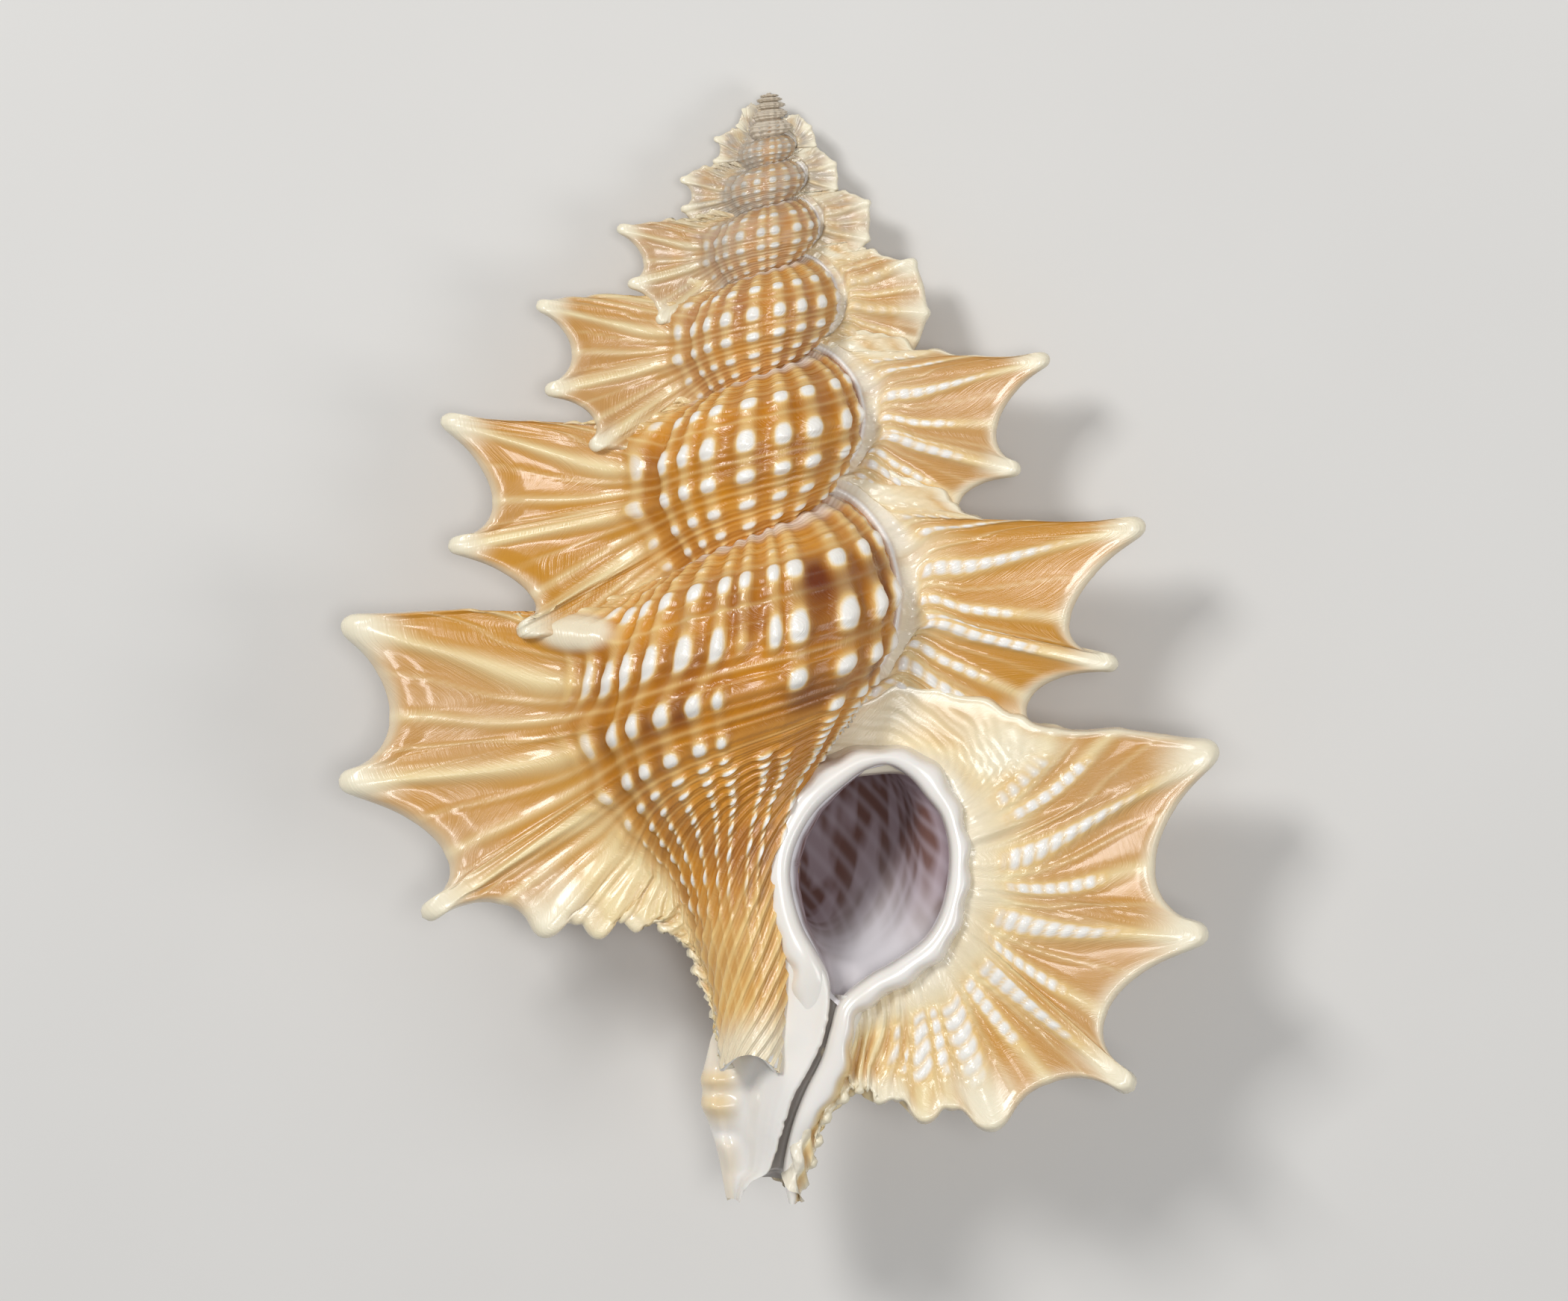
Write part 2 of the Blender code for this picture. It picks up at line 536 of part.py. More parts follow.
def fuse_skin(target):
    """Turn the joined pieces into one even skin, then drop what adds little to the shape."""
    step = target.modifiers.new("fuse", "REMESH")
    step.mode = "VOXEL"
    step.voxel_size = SKIN_GRAIN * MM
    apply_modifier(target, step)
    target.data.calc_loop_triangles()
    step = target.modifiers.new("thin out", "DECIMATE")
    step.decimate_type = "COLLAPSE"
    step.ratio = TRIANGLE_LIMIT / len(target.data.loop_triangles)
    apply_modifier(target, step)


def wear_mesh():
    """A block whose top is the table that the shell lies on."""
    work = bmesh.new()
    bmesh.ops.create_cube(work, size=WEAR_BLOCK * MM)
    bmesh.ops.translate(work, verts=work.verts[:], vec=(0.0, 0.0, -WEAR_BLOCK / 2 * MM))
    mesh = bpy.data.meshes.new("wear")
    work.to_mesh(mesh)
    work.free()
    return mesh


def lay_down(target):
    """Turn the shell from growing along its axis to lying on its back."""
    turn = Matrix.Rotation(REST_PITCH, 4, "X") @ Matrix.Rotation(REST_ROLL, 4, "Y")
    target.data.transform(Matrix.Translation(Vector(APEX_PLACE) * MM) @ turn)


def glossy_material():
    """Polished shell: glossy and orange-tan."""
    material = bpy.data.materials.new("shell")
    material.use_nodes = True
    surface = material.node_tree.nodes["Principled BSDF"]
    surface.inputs["Base Color"].default_value = SHELL_COLOUR
    surface.inputs["Roughness"].default_value = SHELL_ROUGHNESS
    surface.inputs["Metallic"].default_value = 0.0
    return material


def build():
    for thing in list(bpy.data.objects):
        bpy.data.objects.remove(thing, do_unlink=True)
    parts = bpy.data.collections.new("maple leaf triton shell")
    bpy.context.scene.collection.children.link(parts)
    cutters = bpy.data.collections.new("shell tools")
    bpy.context.scene.collection.children.link(cutters)

    shell = place(columella_mesh(), "shell", parts)
    growths = [half_turn_mesh(stage) for stage in range(STAGES)]
    growths += [canal_mesh(OLD_CANAL, OLD_CANAL_TOP, 5, 14, OLD_CANAL_INSET, 0.0),
                canal_mesh(NEW_CANAL, NEW_CANAL_TOP, 7, 16, NEW_CANAL_INSET, CANAL_NOTCH),
                canal_mesh(INNER_LIP, INNER_LIP[0][0], 7, 10, 1.0, 0.0),
                collar_mesh(), nucleus_mesh()]
    for i, mesh in enumerate(growths):
        combine(shell, place(mesh, f"growth {i}", cutters), "UNION")
    fill_sealed_hollows(shell)
    hollows = [mouth_mesh(), canal_mesh(GUTTER, GUTTER[0][0], 6, 10, 1.0, 0.0), slit_mesh()]
    for i, mesh in enumerate(hollows):
        combine(shell, place(mesh, f"hollow {i}", cutters), "DIFFERENCE")
    fuse_skin(shell)
    lay_down(shell)
    combine(shell, place(wear_mesh(), "wear", cutters), "DIFFERENCE")
    for tool in cutters.objects:
        tool.hide_render = True
        tool.display_type = "WIRE"

    shell.data.materials.clear()
    shell.data.materials.append(glossy_material())
    shell.data.shade_smooth()
    shell.data.set_sharp_from_angle(angle=CREASE_ANGLE)
    return shell


if __name__ == "__main__":
    build()
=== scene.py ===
import math
from types import SimpleNamespace

import bpy
import numpy as np
from mathutils import Matrix, Vector


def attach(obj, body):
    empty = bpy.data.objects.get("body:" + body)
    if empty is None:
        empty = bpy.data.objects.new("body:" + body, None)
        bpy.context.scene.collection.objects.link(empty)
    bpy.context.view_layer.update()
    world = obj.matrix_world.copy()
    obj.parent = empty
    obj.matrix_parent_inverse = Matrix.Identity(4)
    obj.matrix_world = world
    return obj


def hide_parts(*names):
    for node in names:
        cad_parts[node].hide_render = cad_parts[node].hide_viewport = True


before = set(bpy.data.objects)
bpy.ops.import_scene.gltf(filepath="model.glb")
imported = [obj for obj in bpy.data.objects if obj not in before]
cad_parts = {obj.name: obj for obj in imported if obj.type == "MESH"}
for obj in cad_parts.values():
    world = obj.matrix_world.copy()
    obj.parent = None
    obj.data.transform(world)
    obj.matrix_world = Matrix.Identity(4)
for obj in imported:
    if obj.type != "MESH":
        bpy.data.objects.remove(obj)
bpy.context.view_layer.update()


# Tip of the spire
# The first turns of the young shell, a worn grey-white bulb no bigger than a sesame seed.
# They have lost their beads, are of the same shell as all that follows, and coil by one law.
MM = 0.001
SUTURE_DOWN = 36.0  # apex to the top of the newest half turn, along the axis
SUTURE_RATIO = 0.803  # axial shrink for each half turn back
TUBE_RADIUS = 10.9  # axis to the outside of the newest half turn
RADIUS_RATIO = 0.848  # radial shrink for each half turn back
WHORL_OUTLINE = [  # place along the outline, shares of radius and of depth
    (0.00, 0.350, 1.000), (0.08, 0.550, 1.010), (0.16, 0.740, 1.052), (0.26, 0.905, 1.128),
    (0.36, 0.985, 1.212), (0.46, 1.000, 1.292), (0.56, 0.955, 1.372), (0.66, 0.840, 1.452),
    (0.74, 0.690, 1.528), (0.82, 0.520, 1.612), (0.90, 0.390, 1.700), (1.00, 0.300, 1.820),
]
TIP_TURNS = (13.2, 24.0)  # half turns back from the newest wing that the tip spans
TIP_ROWS, TIP_COLUMNS = 360, 40
TIP_OUTLINE_END = 0.9  # place on the outline where the tip's skin stops
TIP_RIDGES, TIP_RIDGE_RISE = 6, 0.05  # spiral ridges, and their rise as a share of the radius
TIP_RIBS, TIP_RIB_RISE = 7, 0.07  # ribs in a half turn, and their rise
TIP_WEAR = 0.04  # unevenness left by wear
TIP_STOUT, TIP_BULB = 1.12, 0.5  # times that the tip is stouter than the law, more at its bulb
BULB_GROWTH, CLOSING_GROWTH = (15.0, 20.0), (22.0, 24.0)  # where it bulges, and where it closes
TIP_CLOSED = 0.98  # share of the radius that the closed end loses
TABLE_WORN = 0.00002  # the lowest points are worn flat where it lies, height in m
# How the shell lies: its roll and pitch, and where its tip is
REST_ROLL = math.radians(0.35)
REST_PITCH = math.radians(-12.25)
APEX_PLACE = (-1.325, 32.136, 1.737)
LYING = (Matrix.Translation(Vector(APEX_PLACE) * MM)
         @ Matrix.Rotation(REST_PITCH, 4, "X") @ Matrix.Rotation(REST_ROLL, 4, "Y"))


def bridge(start, end, leaving, arriving, span, t):
    """The value at share t of a smooth curve from start to end, with its slope at each."""
    return (start * (2 * t ** 3 - 3 * t ** 2 + 1) + leaving * span * (t ** 3 - 2 * t ** 2 + t)
            + end * (3 * t ** 2 - 2 * t ** 3) + arriving * span * (t ** 3 - t ** 2))


def through(knots, where):
    """Values of a smooth curve through knots (place, value, ...) at many places."""
    knots = np.asarray(knots, float)
    spots, values = knots[:, 0], knots[:, 1:]
    where = np.clip(where, spots[0], spots[-1])
    last = len(knots) - 1
    before = np.maximum(np.arange(last + 1) - 1, 0)
    after = np.minimum(np.arange(last + 1) + 1, last)
    slopes = (values[after] - values[before]) / (spots[after] - spots[before])[:, None]
    i = np.clip(np.searchsorted(spots, where) - 1, 0, last - 1)
    span = (spots[i + 1] - spots[i])[..., None]
    t = (where - spots[i])[..., None] / span
    return bridge(values[i], values[i + 1], slopes[i], slopes[i + 1], span, t)


def ease(low, high, where):
    """Nought below low, one above high, and smooth between."""
    t = np.clip((where - low) / (high - low), 0.0, 1.0)
    return t * t * (3 - 2 * t)


def whorl_outline(n, u):
    """Radius and depth of the whorl surface at growth n, place u."""
    outline = through(WHORL_OUTLINE, u)
    return (outline[..., 0] * TUBE_RADIUS * RADIUS_RATIO ** n,
            outline[..., 1] * SUTURE_DOWN * SUTURE_RATIO ** n)


def points_at(out, down, lift):
    """Points from their distances out from the axis, down from the tip and up to the viewer."""
    return np.stack(np.broadcast_arrays(out, -np.asarray(down), lift), -1)


def mask(*layers):
    """Three layers of values over a skin, as one set of vectors that its material reads."""
    return np.stack(np.broadcast_arrays(*layers), -1)


def skin_object(name, points, masks, material, side=1.0, closed=False):
    """A grid of points (rows, columns, 3) in mm as one smooth skin of the shell."""
    rows, columns = points.shape[:2]
    points = points * np.array([side, 1.0, side]) * MM
    points = points @ np.array(LYING.to_3x3()).T + np.array(LYING.translation)
    points[..., 2] = np.maximum(points[..., 2], TABLE_WORN)
    index = np.arange(rows * columns).reshape(rows, columns)
    if closed:
        index = np.hstack([index, index[:, :1]])
    corners = np.stack([index[:-1, :-1], index[1:, :-1], index[1:, 1:], index[:-1, 1:]], axis=-1)
    corners = corners.reshape(-1, 4)
    mesh = bpy.data.meshes.new(name)
    mesh.vertices.add(rows * columns)
    mesh.vertices.foreach_set("co", points.reshape(-1).astype(np.float32))
    mesh.loops.add(corners.size)
    mesh.loops.foreach_set("vertex_index", corners.reshape(-1).astype(np.int32))
    mesh.polygons.add(len(corners))
    mesh.polygons.foreach_set("loop_start", np.arange(0, corners.size, 4, dtype=np.int32))
    for label, values in masks.items():
        layer = mesh.attributes.new(label, "FLOAT_VECTOR", "POINT")
        layer.data.foreach_set("vector", values.reshape(-1).astype(np.float32))
    mesh.update(calc_edges=True)
    mesh.shade_smooth()
    mesh.materials.append(material)
    piece = bpy.data.objects.new(name, mesh)
    bpy.context.scene.collection.objects.link(piece)
    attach(piece, "root")
    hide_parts("shell")
    return piece


def outward(points):
    """Unit normals of a grid of points, rows along growth and columns along the outline."""
    run = np.gradient(points, axis=0)
    across = np.gradient(points, axis=1)
    normal = np.cross(run, across)
    return normal / np.maximum(np.linalg.norm(normal, axis=-1, keepdims=True), 1e-9)


# The shell's colours are given as the eye reads them on a screen.
OCHRE, AMBER, STAIN = "#D68C10", "#AC6406", "#66240A"
CREAM, BEAD_WHITE = "#F0CB86", "#F6F2EA"
APRICOT, TAN_PINK, WING_CREAM = "#CC9030", "#CB9A5A", "#F3DEAA"
# The grey is the grey of age on the old whorls, and also painted shade at the small wings' roots and beside
# the old mouths.
EDGE_CREAM, PORCELAIN, AGE_AND_SHADE_GREY = "#F5EBD0", "#F2EEE8", "#B4ACA0"
STAIN_STRENGTH, GREY_STRENGTH = 0.9, 0.9
CORD_THREADS, THREAD_SHARE = 4.0, 0.35  # fine threads a cord, and their share of the fine relief
LINES_A_CORD, LINES_A_MM = 1.5, 7.0  # how fine the growth lines are along and across
FINE_RELIEF = 0.00012  # height in m of the threads and growth lines


def paint(code):
    """A colour written as #RRGGBB, in the linear values that Blender works in."""
    shares = [int(code[i:i + 2], 16) / 255 for i in (1, 3, 5)]
    return [s / 12.92 if s <= 0.04045 else ((s + 0.055) / 1.055) ** 2.4 for s in shares] + [1.0]


def plug(tree, socket, value):
    """Link a socket to what another node gives, or set it to a plain value or colour."""
    if isinstance(value, bpy.types.NodeSocket):
        tree.links.new(value, socket)
    else:
        socket.default_value = paint(value) if isinstance(value, str) else value


def feed(tree, node, **values):
    """Values or links for a node's own sockets, by name."""
    for key, value in values.items():
        plug(tree, node.inputs[key.replace("_", " ")], value)


def add_node(tree, kind, settings=None, **values):
    """A node with its settings, and with values or links for its inputs."""
    node = tree.nodes.new(kind)
    for key, value in (settings or {}).items():
        setattr(node, key, value)
    feed(tree, node, **values)
    return node


def blend_colours(tree, share, low, high):
    """The colour low where share is nought and high where it is one."""
    node = add_node(tree, "ShaderNodeMix", {"data_type": "RGBA", "clamp_factor": True})
    for number, value in ((0, share), (6, low), (7, high)):
        plug(tree, node.inputs[number], value)
    return node.outputs[2]


def maths(tree, operation, *values):
    """One arithmetic step on one, two or three values."""
    node = add_node(tree, "ShaderNodeMath", {"operation": operation})
    for socket, value in zip(node.inputs, values):
        plug(tree, socket, value)
    return node.outputs[0]


def spread_out(tree, value, low, high):
    """Nought where the value is low, one where it is high, and even between."""
    return add_node(tree, "ShaderNodeMapRange", Value=value, From_Min=low, From_Max=high).outputs[0]


def cloud(tree, spot, scale, detail):
    """Soft cloudy values over the surface."""
    return add_node(tree, "ShaderNodeTexNoise", Vector=spot, Scale=scale, Detail=detail).outputs["Fac"]


def split(tree, vector):
    """The three layers of a set of vectors."""
    return add_node(tree, "ShaderNodeSeparateXYZ", Vector=vector).outputs


def carried_mask(tree, label):
    """A mask that the mesh carries."""
    return add_node(tree, "ShaderNodeAttribute", {"attribute_name": label}).outputs["Vector"]


def own_place(tree):
    """The place on the piece itself, in metres."""
    return add_node(tree, "ShaderNodeTexCoord").outputs["Object"]


def new_material(name):
    """An empty material, with its node tree and its shader."""
    material = bpy.data.materials.new(name)
    material.use_nodes = True
    return material, material.node_tree, material.node_tree.nodes["Principled BSDF"]


def new_group(name, inputs, outputs):
    """An empty node group with named sockets, and its two end nodes."""
    group = bpy.data.node_groups.new(name, "ShaderNodeTree")
    for direction, sockets in (("INPUT", inputs), ("OUTPUT", outputs)):
        for label, kind in sockets:
            group.interface.new_socket(label, in_out=direction, socket_type="NodeSocket" + kind)
    return group, group.nodes.new("NodeGroupInput"), group.nodes.new("NodeGroupOutput")


def growth_lines_group():
    """Fine threads along the spiral and finer growth lines across them, as one height."""
    group, given, result = new_group(
        "growth lines", [("Place", "Vector"), ("Threads", "Float")], [("Height", "Float")])
    cord_number, grown, _ = split(group, given.outputs["Place"])
    thread = maths(group, "MULTIPLY", cord_number, given.outputs["Threads"])
    thread = maths(group, "SINE", maths(group, "MULTIPLY", thread, 2 * math.pi))
    stretched = add_node(group, "ShaderNodeCombineXYZ",
                         X=maths(group, "MULTIPLY", cord_number, LINES_A_CORD),
                         Y=maths(group, "MULTIPLY", grown, LINES_A_MM))
    lines = add_node(group, "ShaderNodeTexNoise", {"noise_dimensions": "2D"},
                     Vector=stretched.outputs[0], Scale=1.0, Detail=3.0, Roughness=0.6)
    height = maths(group, "MULTIPLY_ADD", thread, THREAD_SHARE, lines.outputs["Fac"])
    group.links.new(height, result.inputs["Height"])
    return group


def shell_colour_group():
    """Ochre whorl, brown stains, white beads, apricot wing with cream cords and pale edge."""
    group, given, result = new_group(
        "shell colours",
        [("Sculpture", "Vector"), ("Place", "Vector"), ("Tint", "Vector"), ("Spot", "Vector")],
        [("Color", "Color")])
    bead, cord, stain = split(group, given.outputs["Sculpture"])
    edge, white, grey = split(group, given.outputs["Tint"])
    wing = split(group, given.outputs["Place"])[2]
    fine = cloud(group, given.outputs["Spot"], 260.0, 3.0)
    broad = cloud(group, given.outputs["Spot"], 90.0, 2.0)
    whorl = blend_colours(group, spread_out(group, fine, 0.35, 0.7), OCHRE, AMBER)
    whorl = blend_colours(group, cord, whorl, CREAM)
    whorl = blend_colours(group, maths(group, "MULTIPLY", stain, STAIN_STRENGTH), whorl, STAIN)
    leaf = blend_colours(group, spread_out(group, broad, 0.42, 0.62), APRICOT, TAN_PINK)
    leaf = blend_colours(group, cord, leaf, WING_CREAM)
    colour = blend_colours(group, wing, whorl, leaf)
    colour = blend_colours(group, spread_out(group, bead, 0.0, 0.5), colour, CREAM)
    colour = blend_colours(group, spread_out(group, bead, 0.3, 0.85), colour, BEAD_WHITE)
    # Grey of age, and painted shade at the wings' roots and along the old mouths.
    colour = blend_colours(group, maths(group, "MULTIPLY", grey, GREY_STRENGTH), colour, AGE_AND_SHADE_GREY)
    colour = blend_colours(group, edge, colour, EDGE_CREAM)
    colour = blend_colours(group, white, colour, PORCELAIN)
    group.links.new(colour, result.inputs["Color"])
    return group


def glossy_shell():
    """Polished shell, coloured by its sculpture, with threads and growth lines in relief."""
    material, tree, surface = new_material("glossy beaded shell")
    place = carried_mask(tree, "place")
    colours = add_node(tree, "ShaderNodeGroup", {"node_tree": shell_colour_group()}, Place=place,
                       Sculpture=carried_mask(tree, "sculpture"), Tint=carried_mask(tree, "tint"),
                       Spot=own_place(tree))
    lines = add_node(tree, "ShaderNodeGroup", {"node_tree": growth_lines_group()}, Place=place,
                     Threads=CORD_THREADS)
    relief = add_node(tree, "ShaderNodeBump", Height=lines.outputs["Height"], Strength=0.35,
                      Distance=FINE_RELIEF)
    feed(tree, surface, Base_Color=colours.outputs["Color"], Normal=relief.outputs["Normal"],
         Roughness=0.26, Coat_Weight=0.35, Coat_Roughness=0.12, Specular_IOR_Level=0.55,
         Subsurface_Weight=0.03, Subsurface_Scale=0.0008, Subsurface_Radius=(1.0, 0.55, 0.3))
    return material


SHELL_SKIN = glossy_shell()

n_tip = np.linspace(*TIP_TURNS, TIP_ROWS)[:, None]
u_tip = np.linspace(0.0, TIP_OUTLINE_END, TIP_COLUMNS)[None, :]
tip_radius, tip_down = whorl_outline(n_tip, u_tip)
tip_radius = tip_radius * (1.0 + TIP_RIDGE_RISE * np.cos(2 * math.pi * TIP_RIDGES * u_tip)
                           + TIP_RIB_RISE * np.cos(2 * math.pi * TIP_RIBS * n_tip) * np.sin(math.pi * u_tip)
                           + TIP_WEAR * np.sin(9.0 * n_tip + 5.0 * u_tip))
tip_radius = tip_radius * (TIP_STOUT + TIP_BULB * ease(*BULB_GROWTH, n_tip))
tip_radius = tip_radius * (1 - TIP_CLOSED * ease(*CLOSING_GROWTH, n_tip))
tip_turn = -math.pi * n_tip
tip_points = points_at(tip_radius * np.cos(tip_turn), tip_down, tip_radius * np.sin(tip_turn))
plain = np.ones(tip_points.shape[:2])
skin_object("tip_of_spire", tip_points[::-1], {
    "sculpture": mask(0.2 * plain, 0.5, 0.0), "place": mask(plain * u_tip * 10, n_tip, 0.0),
    "tint": mask(0.2 * plain, 0.2, 0.8)}, SHELL_SKIN)


# Half turns of the spire, oldest first
# Each is a length of tube that swells into a flat spined wing, then the next one starts from
# the wing's face. Ribs and spiral cords cross on it, and a bead stands on every crossing.
LAP = 0.011  # how far a half turn starts inside the one before it
FOOT = 25.0 / 180.0  # growth before the varix at which the tube flares
TUBE_CONTROLS = 26  # control rows along the tube
FLARE = [  # back of the wing: share of the way out, height
    (0.075, 2.95), (0.15, 2.05), (0.29, 1.22), (0.55, 0.72), (0.80, 0.56),
]
FLARE_GROWTH = 0.44  # growth that the whole way out to the wing's edge stands for
EDGE_BACK, EDGE_FRONT = 0.975, 0.97  # where the wing's edge starts and stops rounding over
FACE_SHARES = [0.90, 0.70, 0.45, 0.22]  # shares of the way out of the face's control rows
FACE_GROWTH = -0.3  # growth that the wing's face stands for
WING_THICKNESS, SPINE_THICKNESS = 1.15, 1.45
SPINE_SPREAD = 0.045  # length of u over which a spine's thickness fades
THINNEST_WING = 0.4  # share of its thickness that the smallest wing keeps
RIM_PROFILE = [  # old mouth rim: distance from the whorl, height, face
    (1.5, 0.62, 1.0), (1.0, 0.70, 1.0), (0.62, 0.92, 1.2), (0.42, 1.22, 2.0),
    (0.24, 1.26, 2.0), (0.06, 1.05, 2.0), (-0.14, 0.7, 2.0),
]
RIM_END, RIM_FADE = 0.74, 0.12  # where the rim ends on the outline, and over how much
LIP_BED = [(0.0, 0.6), (0.5, 0.5), (0.8, -0.6)]  # newest face under the lip: how far in, rise
LIP_BANK = 0.45  # how much that face rises towards the lip
BLUNT_SPINE = 0.009  # length of u over which a spine's tip is rounded
LARGEST_REACH = 26.8  # axis to the end of the longest spine
EDGE_BUMP = 0.45  # how far the ends of the cords stand out of the wing's edge
EDGE_SWELL, SPINE_SWELL = 0.10, 0.42  # growth of the edge outwards, between spines and at them
CANAL_TURNS = {}  # the canal that a half turn's lower end grows into
TAIL_START, TAIL_BLEND = 0.76, 0.45  # where on the outline it starts to, and over what share
CANAL_NOTCH = 1.1  # how far the canal's end is worn back in front and behind
TAIL_SLANT = 9.0  # cords that a growth line on the neck crosses in a half turn
# Cord number by place on the whorl's outline, and by place on the wing's edge
WHORL_CORDS = [
    (0.0, -4), (0.07, -3), (0.12, -2), (0.17, -1), (0.225, 0), (0.385, 1), (0.525, 2),
    (0.64, 3), (0.715, 4), (0.765, 5), (0.795, 6), (0.82, 7), (0.843, 8), (0.866, 9),
    (0.888, 10), (0.911, 11), (0.933, 12), (0.956, 13), (0.978, 14), (1.0, 15),
]
SMALL_EDGE_CORDS = [
    (0.0, -3), (0.10, -1), (0.16, 0), (0.32, 1), (0.52, 2), (0.67, 3), (0.76, 4), (0.84, 5), (1.0, 7),
]
LARGE_EDGE_CORDS = [
    (0.0, -3), (0.05, -2), (0.10, -1), (0.16, 0), (0.30, 1), (0.48, 2), (0.62, 3),
    (0.72, 4), (0.78, 5), (0.83, 6), (0.87, 8), (0.91, 10), (0.95, 12.5), (1.0, 15),
]
# Rise in mm of the beads on each cord, and how long each bead is across the cord
BEAD_RISE = [
    (-4, 0.05), (-2, 0.16), (-1, 0.22), (0, 0.28), (1, 0.56), (2, 0.52), (3, 0.42), (4, 0.33),
    (5, 0.29), (6, 0.26), (8, 0.2), (10, 0.05), (15, 0.0),
]
BEAD_LENGTH = [
    (-4, 0.3), (0, 0.3), (1, 0.36), (2, 0.27), (3, 0.25), (4, 0.24), (6, 0.26), (15, 0.26),
]
# Half widths in mm of main, half and quarter cords: on the whorl, behind the wing, on its face
WHORL_CORD = np.array([0.50, 0.24, 0.14])[:, None, None]
BACK_CORD = np.array([0.95, 0.40, 0.20])[:, None, None]
FACE_CORD = np.array([0.88, 0.48, 0.17])[:, None, None]
# Rise in mm of the same cords, and how cream they are on the wing
WHORL_RELIEF, BACK_RELIEF, FACE_RELIEF = (0.11, 0.09, 0.055), (0.40, 0.17, 0.09), (0.36, 0.24, 0.08)
BACK_CREAM, FACE_CREAM = (0.95, 0.6, 0.3), (0.85, 0.75, 0.3)
RIB_RISE = 0.10  # rise of the ribs, which doubles above the first bead row
TAIL_CORD_RISE, FLUTE_RISE = 0.16, 0.34  # more rise of the neck's cords, rise of the wings' flutes
KNOB_GAP = 1.05  # distance in mm between the knobs on the face's cords
UNEVEN_RISE = 0.03  # rise of the soft unevenness all over
UNEVEN_HUMPS, BLOTCH_HUMPS = (24, 20), (30, 14)  # humps in it, and blotches in the stains, each way
COLUMN_SHARES = (0.5, 0.35, 0.15)  # columns that follow the wing's edge, the whorl, the spines


def hump(distance, width, power=2.0):
    """A rounded hump: one at no distance, nought beyond a few widths."""
    return np.exp(-np.abs(distance / width) ** power)


def weighted(weights, layers):
    """Layers added up by their weights."""
    return sum(weight * layer for weight, layer in zip(weights, layers))


def whorl_place(stage, n, u):
    """Points of the whorl at growth n, place u, seen from its next varix, in mm."""
    n, u = np.broadcast_arrays(np.asarray(n, float), np.asarray(u, float))
    radius, down = whorl_outline(n, u)
    turn = -math.pi * (n - stage)
    out, lift = radius * np.cos(turn), radius * np.sin(turn)
    if stage in CANAL_TURNS:
        canal = CANAL_TURNS[stage]
        side = (-1.0) ** stage
        share = np.clip((u - TAIL_START) / (1.0 - TAIL_START), 0.0, 1.0)
        start = whorl_outline(n, np.full_like(u, TAIL_START))[1]
        level = start + (canal[-1][0] - start) * share
        centre = through(canal, level)
        level = level - CANAL_NOTCH * np.sin(turn) ** 2 * share ** 6
        blend = ease(0.0, TAIL_BLEND, share)
        down = down + (level - down) * blend
        spread = radius + (centre[..., 2] - radius) * blend
        rise = radius + (centre[..., 3] - radius) * blend
        out = spread * np.cos(turn) + side * centre[..., 0] * blend
        lift = rise * np.sin(turn) + side * centre[..., 1] * blend
    return points_at(out, down, lift)


def spine_places(corners):
    """Places u of the spines among the corners of a wing's edge."""
    return np.array([c[0] for c in corners[1:-1] if c[0] > 0.25])


def to_spine(corners, u):
    """How far each place u is from the nearest spine."""
    return np.min(np.abs(u[:, None] - spine_places(corners)), axis=1)


def below_spines(corners, u):
    """Nought down to the last spine, and one on the tail below it."""
    last_spine = spine_places(corners)[-1]
    return ease(last_spine + 0.01, last_spine + 0.06, u)


def off_cord(q, between=0.0):
    """How far a cord number is from the nearest cord, or with 0.5 from the middle of a gap."""
    return q - between - np.round(q - between)


def wing_edge(corners, middles, u, cords=None):
    """Points of the edge: scallops between blunt spines, with a bump at each of the cords."""
    corners, middles = np.array(corners, float), np.array(middles, float)
    total = 0.0
    offsets = np.linspace(-BLUNT_SPINE, BLUNT_SPINE, 5)
    for offset in offsets:
        v = np.clip(u + offset, corners[0, 0], corners[-1, 0])
        i = np.clip(np.searchsorted(corners[:, 0], v) - 1, 0, len(middles) - 1)
        a, b, m = corners[i], corners[i + 1], middles[i]
        t = (v - a[:, 0]) / (b[:, 0] - a[:, 0])
        weights = 2 * (t - 0.5) * (t - 1), -4 * t * (t - 1), 2 * t * (t - 0.5)
        out = weights[0] * a[:, 1] + weights[1] * m[:, 0] + weights[2] * b[:, 1]
        down = weights[0] * a[:, 2] + weights[1] * m[:, 1] + weights[2] * b[:, 2]
        total = total + points_at(out, down, a[:, 3] + (b[:, 3] - a[:, 3]) * t)
    edge = total / len(offsets)
    if cords is None:
        return edge
    q = through(cords, u)[:, 0]
    bump = hump(off_cord(q), 0.2) + 0.4 * hump(off_cord(q, 0.5), 0.13)
    plain_part = ease(0.3, 0.7, q) * (1 - ease(3.6, 4.4, q))
    run = np.gradient(edge[:, :2], axis=0)
    run /= np.maximum(np.linalg.norm(run, axis=1, keepdims=True), 1e-9)
    swell = EDGE_SWELL + (SPINE_SWELL - EDGE_SWELL) * hump(to_spine(corners, u), 0.02)
    swell = swell + EDGE_BUMP * bump * (1 - 0.85 * plain_part) * (1 - 0.6 * ease(5.0, 8.0, q))
    size = np.clip(corners[:, 1].max() / LARGEST_REACH, 0.15, 1.0) ** 0.6
    if corners[-1, 0] < 0.9:
        size = size * (1 - below_spines(corners, u))
    edge[:, 0] += -run[:, 1] * swell * size
    edge[:, 1] += run[:, 0] * swell * size
    return edge


